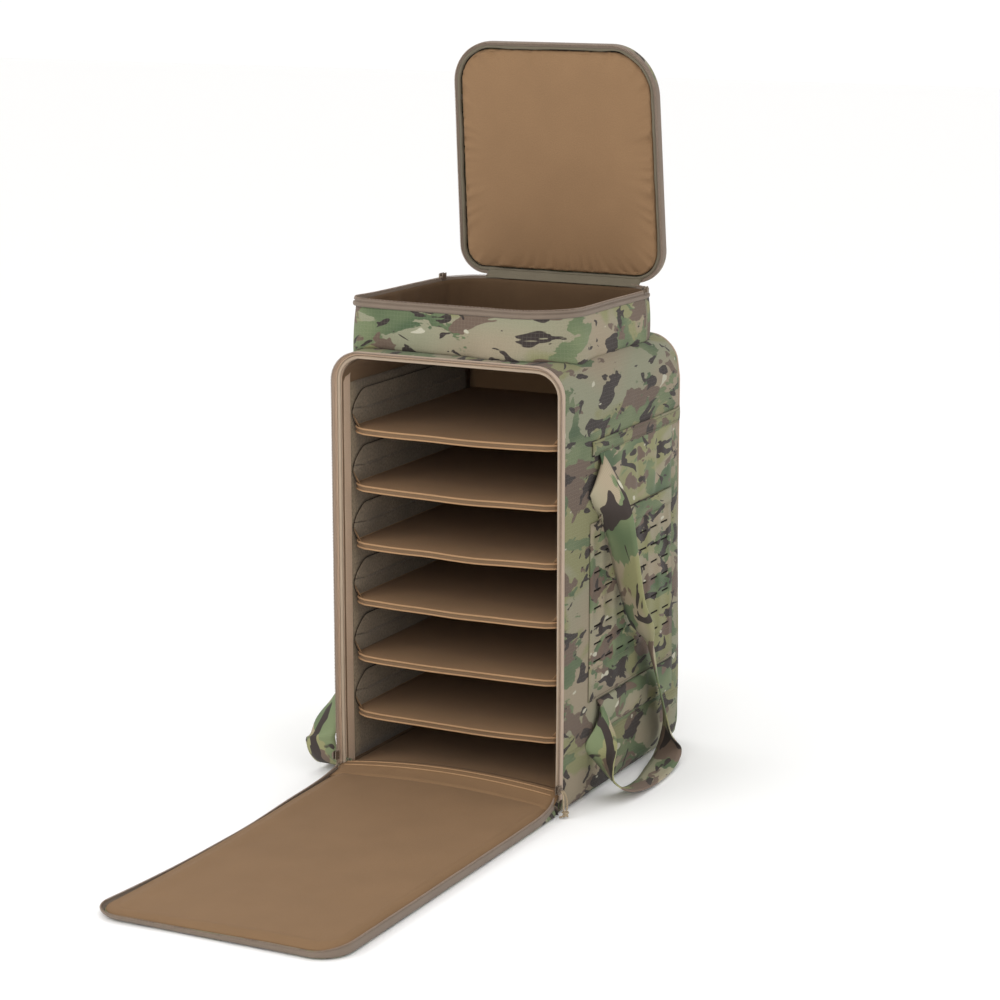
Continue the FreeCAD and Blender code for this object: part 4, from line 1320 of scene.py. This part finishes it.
def make_wing(name, body, side, base, head, half, front, back, looks):
    """The upright side of a shelf: a stiffened flap with cut corners and a thin dark edge."""
    outline = [(front + 16 * MM, base + 6 * MM), (front + 4 * MM, base + 25 * MM),
               (front + 12 * MM, base + 40 * MM), (front + 36 * MM, head - 1 * MM),
               (back - 40 * MM, head - 1 * MM), (back - 16 * MM, base + 36 * MM),
               (back - 14 * MM, base + 6 * MM)]
    corners = [Vector((0, y, z)) for y, z in outline]
    line = smooth_corners(corners, 9 * MM)
    middle = (base + head) / 2
    vertices = []
    uvs = []
    rings = 8
    x = half - 1.3 * MM
    for k in range(rings + 1):
        for point in line:
            near = min(max(point.y, front + 42 * MM), back - 40 * MM)
            if k == rings:
                near = round(near / (6 * MM)) * 6 * MM
            spine = Vector((0, near, middle))
            spot = point.lerp(spine, (k / rings) ** 1.3)
            swell = 1.4 * MM * eased((point - spot).length, 12 * MM)
            swell += abs(ripple(spot.y, spot.z, 81 + side, 0.05, 1.5 * MM))
            vertices.append((side * (x - swell), spot.y, spot.z))
            uvs.append((spot.y, spot.z))
    faces = quads(rings + 1, len(line), round_width=True)
    face = tidy_normals(new_object(name, vertices, faces, uvs, looks["pile"]))
    solidify(face, 1.0 * MM, 1.0 if side > 0 else -1.0)
    edge = [Vector((side * (x - 0.3 * MM), p.y, p.z)) for p in line]
    rim = tube(name + "_rim", edge, 0.7 * MM, looks["edge"], sides=6, closed=True)
    finish(face, body)
    finish(rim, body)
    fore = Vector((side * (half - 16 * MM), front + 3 * MM, base + 7.5 * MM))
    root = Vector((side * (half - 3.4 * MM), front + 15 * MM, base + 7.5 * MM))
    peak = Vector((side * (half - 2.4 * MM), front + 6 * MM, base + 25 * MM))
    fold = []
    for share in (0.0, 0.5, 0.96):
        fold.append((fore.lerp(root, share), peak.lerp(root, share)))
    vertices = [p for pair in fold for p in pair]
    web = new_object(name + "_gusset", vertices, [(0, 1, 3, 2), (2, 3, 5, 4)], [(v.y, v.z) for v in vertices],
                     looks["lining"])
    solidify(web, 0.8 * MM, 0.0)
    finish(web, body)


def smooth_corners(points, radius, bits=5):
    """A closed outline with its corners rounded off."""
    result = []
    count = len(points)
    for i, corner in enumerate(points):
        before = (points[i - 1] - corner).normalized() * radius
        after = (points[(i + 1) % count] - corner).normalized() * radius
        for k in range(bits + 1):
            t = k / bits
            result.append((corner + before) * (1 - t) ** 2 + corner * 2 * t * (1 - t)
                          + (corner + after) * t ** 2)
    return result


def joined(name, pieces):
    """Several new objects made into one, keeping their materials and UVs."""
    work = bpy.data.meshes.new(name)
    merged = bmesh.new()
    slots = []
    for piece in pieces:
        material = piece.data.materials[0]
        if material not in slots:
            slots.append(material)
            work.materials.append(material)
        before = len(merged.faces)
        merged.from_mesh(piece.data)
        merged.faces.ensure_lookup_table()
        for face in merged.faces[before:]:
            face.material_index = slots.index(material)
    merged.to_mesh(work)
    merged.free()
    for piece in pieces:
        bpy.data.objects.remove(piece)
    return new_item(name, work)


def join_meshes(first, second):
    """The mesh of two pieces in one. The second object goes."""
    work = bmesh.new()
    work.from_mesh(first.data)
    work.from_mesh(second.data)
    bmesh.ops.remove_doubles(work, verts=work.verts, dist=0.02 * MM)
    bmesh.ops.recalc_face_normals(work, faces=work.faces)
    work.to_mesh(first.data)
    work.free()
    bpy.data.objects.remove(second)
    return first.data


# ------------------------------------------------------------------ what is sewn on outside

SLOT_WIDE = 24 * MM
SLOT_TALL = 3.0 * MM
SLOT_PITCH = 38.1 * MM
ROW_PITCH = 25.4 * MM


def slotted(name, node, place, low_u, high_u, columns, looks):
    """A laminate panel with rows of cut slots, over a near-black sheet of painted shade that shows through
    them.
    """
    low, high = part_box(node)
    first_u = low_u + ((high_u - low_u) - (columns - 1) * SLOT_PITCH - SLOT_WIDE) / 2
    us = [low_u]
    open_columns = []
    for k in range(columns):
        start = first_u + k * SLOT_PITCH
        open_columns.append(len(us))
        us += [start, start + SLOT_WIDE]
    us.append(high_u)
    vs = [low.z]
    open_rows = []
    for k in range(8):
        start = low.z + 54 * MM + k * ROW_PITCH
        open_rows.append(len(vs))
        vs += [start, start + SLOT_TALL]
    vs += [high.z - 10 * MM, high.z]
    skip = {(c, r) for c in open_columns for r in open_rows}
    panel = patch(name, lambda u, v: place(u, v, 1.7 * MM), us, vs, looks["laminate"], 1.1 * MM, skip)
    finish(panel, "case_body", (node,))
    # a near-black sheet under the panel: painted shade in the slots
    backing = patch(name + "_shade", lambda u, v: place(u, v, 0.5 * MM),
                    spread(low_u + 4 * MM, high_u - 4 * MM, 30 * MM),
                    spread(low.z + 50 * MM, high.z - 14 * MM, 25 * MM), looks["dark"], 0.3 * MM)
    finish(backing, "case_body")
    lines = []
    for v in (low.z + 2.5 * MM, low.z + 46 * MM, high.z - 2.5 * MM):
        lines.append([place(u, v, 1.9 * MM) for u in spread(low_u + 3 * MM, high_u - 3 * MM, 12 * MM)])
    return lines


def sleeve(name, node, side, looks, tacks):
    """A flat tunnel of webbing cloth sewn along its top, foot and back, and open at its front."""
    low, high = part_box(node)

    def place(y, z):
        share = (z - low.z) / (high.z - low.z)
        arch = sin(pi * share) ** 0.6 if 0 < share < 1 else 0.0
        mouth = exp(-(y - low.y) / (55 * MM))
        press = 1.0
        for tack in tacks:
            press = min(press, abs(y - tack) / (16 * MM) + 0.25)
        end = min(1.0, (high.y - y) / (12 * MM))
        out = 1.8 * MM + arch * end * press * (3.2 + 5.0 * mouth) * MM
        out += arch * ripple(y * 2.2, z * 0.5, 91, 0.05, 2.0 * MM) * end
        return side_place(side, y, z, out)

    piece = patch(name, place, spread(low.y - 2 * MM, high.y, 5 * MM), spread(low.z, high.z, 4 * MM),
                  looks["sleeve"])
    finish(piece, "case_body", (node,))


# a strap's stations in millimetres: its centre line, half its width as a vector, and how far it cups
RIGHT_STRAP = (
    ((180.8, -20, 462), (0, 0, 22), 0), ((181.2, -70, 464), (0, 1, 22), 0),
    ((183.0, -96, 466), (0, 10, 21), 0.5), ((187.5, -110, 458), (3, 21, 19), 1),
    ((193, -106, 444), (9, 23, 12), 1.5), ((199, -98, 422), (18, 17, 4), 1.5),
    ((204, -88, 396), (25, 2, 1), 1), ((205, -60, 334), (24, -6, 1), 1),
    ((205, -32, 270), (23, -9, 0), 2), ((206, 2, 222), (21, -9, 3), 5), ((205, 36, 184), (9, -16, -8), 5),
    ((203, 74, 108), (12, -18, -10), 1), ((203, 100, 52), (14, -17, -9), 1),
    ((207, 104, 24), (21, -10, -4), 1), ((212, 74, 8), (23, -6, 1), 1), ((220, 20, 4), (22, -9, 1), 0.5),
    ((226, -44, 5), (17, -17, 2), 0.5), ((223, -94, 12), (14, -19, 5), 1),
    ((212, -114, 30), (13, -19, 4), 1), ((203, -118, 52), (19, -12, 3), 1.5),
    ((196, -114, 76), (18, 13, 5), 2), ((190, -110, 96), (9, 19, 9), 2),
    ((184.5, -103, 110), (2, 13, 18), 1), ((181.6, -84, 114), (0, 2, 21), 0.5),
    ((180.8, -30, 114), (0, 0, 21), 0))
LEFT_STRAP = (
    ((-180.8, -20, 462), (0, 0, 22), 0), ((-181.2, -70, 464), (0, 1, 22), 0),
    ((-183.0, -96, 466), (0, 10, 21), 0.5), ((-185.0, -104, 458), (-1, 20, 15), 1),
    ((-189, -102, 440), (-8, 21, 6), 1.5), ((-197, -97, 420), (-18, 14, 2), 1.5),
    ((-204, -86, 392), (-23, 5, 1), 1), ((-205, -40, 300), (-24, 1, 0), 1),
    ((-205, 10, 205), (-24, 0, 0), 1), ((-206, 56, 115), (-24, 0, 0), 1),
    ((-207, 78, 52), (-24, 0, 0), 1), ((-207, 66, 14), (-24, 0, 0), 1), ((-207, 20, 4), (-24, 0, 0), 0),
    ((-206, -60, 4), (-24, 0, 0), 0), ((-205, -134, 4), (-24, 0, 0), 0),
    ((-206, -170, 9), (-23, 0, 0), 0), ((-209, -188, 28), (-24, 0, -2), 0),
    ((-211, -194, 48), (-24, 0, -5), 0), ((-210.5, -195, 57), (-24, 0, -6), 0),
    ((-208, -190, 64), (-23, 1, -8), 0), ((-202, -184, 92), (-21, 2, -11), 1),
    ((-194, -170, 122), (-13, 6, -18), 1), ((-187, -144, 130), (-6, 6, -21), 1),
    ((-182.5, -110, 120), (-1, 3, -22), 0.5), ((-180.8, -40, 114), (0, 0, -22), 0))


# the band over the shoulder's seam, the row of stitches round the foot, and the slotted panel's head flap
BAND_FRONT = -118 * MM
BAND_FOOT = 487 * MM
BAND_HEAD = 508 * MM
FOOT_SEAM = (80 * MM, 83.5 * MM)
FLAP_DEEP = (-60 * MM, 154 * MM)
FLAP_TALL = (372 * MM, 394 * MM)
# where the strap is tacked down inside its tunnels, along the case
UPPER_TACKS = (30 * MM, 98 * MM)
LOWER_TACKS = (0.0, 75 * MM)


def shoulder_place(side, y, z):
    """A place on the band that is folded over the shoulder's seam."""
    swell = sin((z - BAND_FOOT) / (BAND_HEAD - BAND_FOOT) * pi)
    return side_place(side, y, z, 2.2 * MM + 0.8 * MM * swell)


def make_outside(looks):
    rows = []
    for side, name in SIDES:
        node = f"webbing_panel_{name}"
        low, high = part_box(node)
        rows += slotted(f"slotted_panel_{name}", node, partial(side_place, side), low.y, high.y, 7, looks)
        sleeve(f"upper_tunnel_{name}", f"upper_sleeve_{name}", side, looks, UPPER_TACKS)
        sleeve(f"lower_tunnel_{name}", f"lower_sleeve_{name}", side, looks, LOWER_TACKS)
        band = patch(f"shoulder_band_{name}", partial(shoulder_place, side),
                     spread(BAND_FRONT, BACK - 3 * MM, 9 * MM), spread(BAND_FOOT, BAND_HEAD, 3 * MM),
                     looks["wrap"], 1.6 * MM)
        finish(band, "case_body")
        flap = patch(f"laminate_head_{name}", lambda y, z: side_place(side, y, z, 2.9 * MM),
                     spread(*FLAP_DEEP, 9 * MM), spread(*FLAP_TALL, 5 * MM), looks["laminate"], 1.0 * MM)
        finish(flap, "case_body")
        for z in (BAND_FOOT + 3.5 * MM, BAND_HEAD - 3.5 * MM):
            run = spread(BAND_FRONT + 3 * MM, BACK - 5 * MM, 12 * MM)
            rows.append([side_place(side, y, z, 3.0 * MM) for y in run])
        for z in FOOT_SEAM:
            run = spread(FRONT + 4 * MM, BACK - 5 * MM, 12 * MM)
            rows.append([side_place(side, y, z, 0.2 * MM) for y in run])
        strap = ribbon(f"carry_strap_{name}_webbing", RIGHT_STRAP if side > 0 else LEFT_STRAP, looks["strap"])
        finish(strap, "case_body", (f"carry_strap_{name}",))
    low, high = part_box("webbing_panel_back")
    rows += slotted("slotted_panel_back", "webbing_panel_back", back_place, low.x, high.x, 6, looks)
    stitches = stitch_row("outer_stitches", rows, outside_at, looks["stitch"])
    finish(stitches, "case_body")
    make_haul_handle(looks)


def outside_at(spot):
    if spot.y > BACK - 0.5 * MM:
        return Vector((0, 1, 0))
    return Vector((copysign(1, spot.x), 0, 0))


def make_haul_handle(looks):
    low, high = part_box("haul_handle")
    middle = (low.z + high.z) / 2 * 1000
    tall = (high.z - low.z) / 2 * 1000
    stations = [((x, y, middle), (0, 0, -tall), 0) for x, y in
                ((-78, 201.5), (-62, 202), (-48, 206), (-30, 218), (0, 224), (30, 218), (48, 206), (62, 202),
                 (78, 201.5))]
    handle = ribbon("haul_handle_webbing", stations, looks["strap"], thickness=2.4 * MM)
    finish(handle, "case_body", ("haul_handle",))
    for side, name in SIDES:
        centre = side * 69 * MM
        sewn = patch(f"haul_patch_{name}", lambda x, z: back_place(x, z, 3.6 * MM),
                     spread(centre - 13 * MM, centre + 13 * MM, 5 * MM),
                     spread(low.z - 4 * MM, high.z + 4 * MM, 5 * MM), looks["laminate"], 1.0 * MM)
        finish(sewn, "case_body")


# ------------------------------------------------------------------ metal and cord

CORD_ROUTE = ((181.4, -212.9, 38.0), (184.9, -213.9, 35.2), (186.6, -216.6, 26.0), (187.0, -217.4, 15.6),
              (187.0, -214.0, 8.0), (187.4, -209.8, 8.2), (187.8, -206.6, 15.4), (187.0, -207.2, 25.4),
              (185.2, -209.0, 34.6), (181.4, -209.5, 38.0))
CORD_WIDE = 2.4 * MM


def make_cord(looks):
    data = bpy.data.curves.new("pull_cord_line", "CURVE")
    data.dimensions = "3D"
    data.bevel_depth = CORD_WIDE / 2
    data.bevel_resolution = 4
    data.use_fill_caps = True
    spline = data.splines.new("NURBS")
    spline.points.add(len(CORD_ROUTE) - 1)
    for point, place in zip(spline.points, CORD_ROUTE):
        point.co = (*(Vector(place) * MM), 1)
    spline.order_u = 3
    spline.use_endpoint_u = True
    spline.resolution_u = 8
    data.materials.append(looks["cord_round"])
    cord = new_item("pull_cord_line", data)
    finish(cord, "front_zip_right", ("pull_cord",))

    low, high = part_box("pull_knot")
    centre = (low + high) / 2
    loops = []
    for k in range(73):
        angle = tau * k / 24
        ring = 3.6 + 0.5 * sin(angle * 2 / 3)
        loops.append(centre + Vector((cos(angle) * ring, sin(angle) * ring * 0.8,
                                      2.6 * sin(angle / 3 * 2) + 1.2 * cos(angle * 4 / 3))) * MM)
    knot = tube("pull_knot_turns", loops, 1.35 * MM, looks["cord_round"], sides=10)
    tail = [centre + Vector(p) * MM for p in
            ((0, 0, 2), (-1, -1.5, 0), (-2.5, -3, -3), (-4.5, -4, -4.2), (-7, -4.5, -4.9))]
    end = tube("tail", smooth_line(tail, 5), 1.2 * MM, looks["cord_round"], sides=10)
    knot = joined("pull_knot_turns", [knot, end])
    finish(knot, "front_zip_right", ("pull_knot",))
    tuple(Vector(CORD_ROUTE[0]) * MM)


def seat_lid_sliders(looks):
    """The lid's sliders, moved on to the compartment's soft rim."""
    for name, inward in (("left", 0.0), ("right", TIER_RIGHT - TIER_HALF)):
        node = frame["nodes"][f"lid_slider_{name}"]
        mesh = node.data.copy()
        mesh.transform(Matrix.Translation((inward, 0, -3.0 * MM)) @ node.matrix_world)
        mesh.materials.clear()
        mesh.materials.append(looks["metal"])
        slider = new_item(f"lid_slider_{name}_metal", mesh)
        soften(slider)
        finish(slider, f"lid_zip_{name}", (f"lid_slider_{name}",))


def soften(piece):
    bevel = piece.modifiers.new("soft_edges", "BEVEL")
    bevel.width = 0.35 * MM
    bevel.segments = 2
    bevel.limit_method = "ANGLE"


def dress_cad(looks):
    seat_lid_sliders(looks)
    for name in ("zip_slider_left", "zip_slider_right"):
        node = frame["nodes"][name]
        node.data.materials.clear()
        node.data.materials.append(looks["metal"])
        soften(node)


make_camera()
looks = make_materials()
make_cord(looks)
make_stage()
make_body(looks)
make_front_rim(looks)
make_sill(looks)
make_panel(looks)
make_tier(looks)
make_lid(looks)
for shelf_number in range(1, 7):
    make_shelf(shelf_number, looks)
make_outside(looks)
dress_cad(looks)
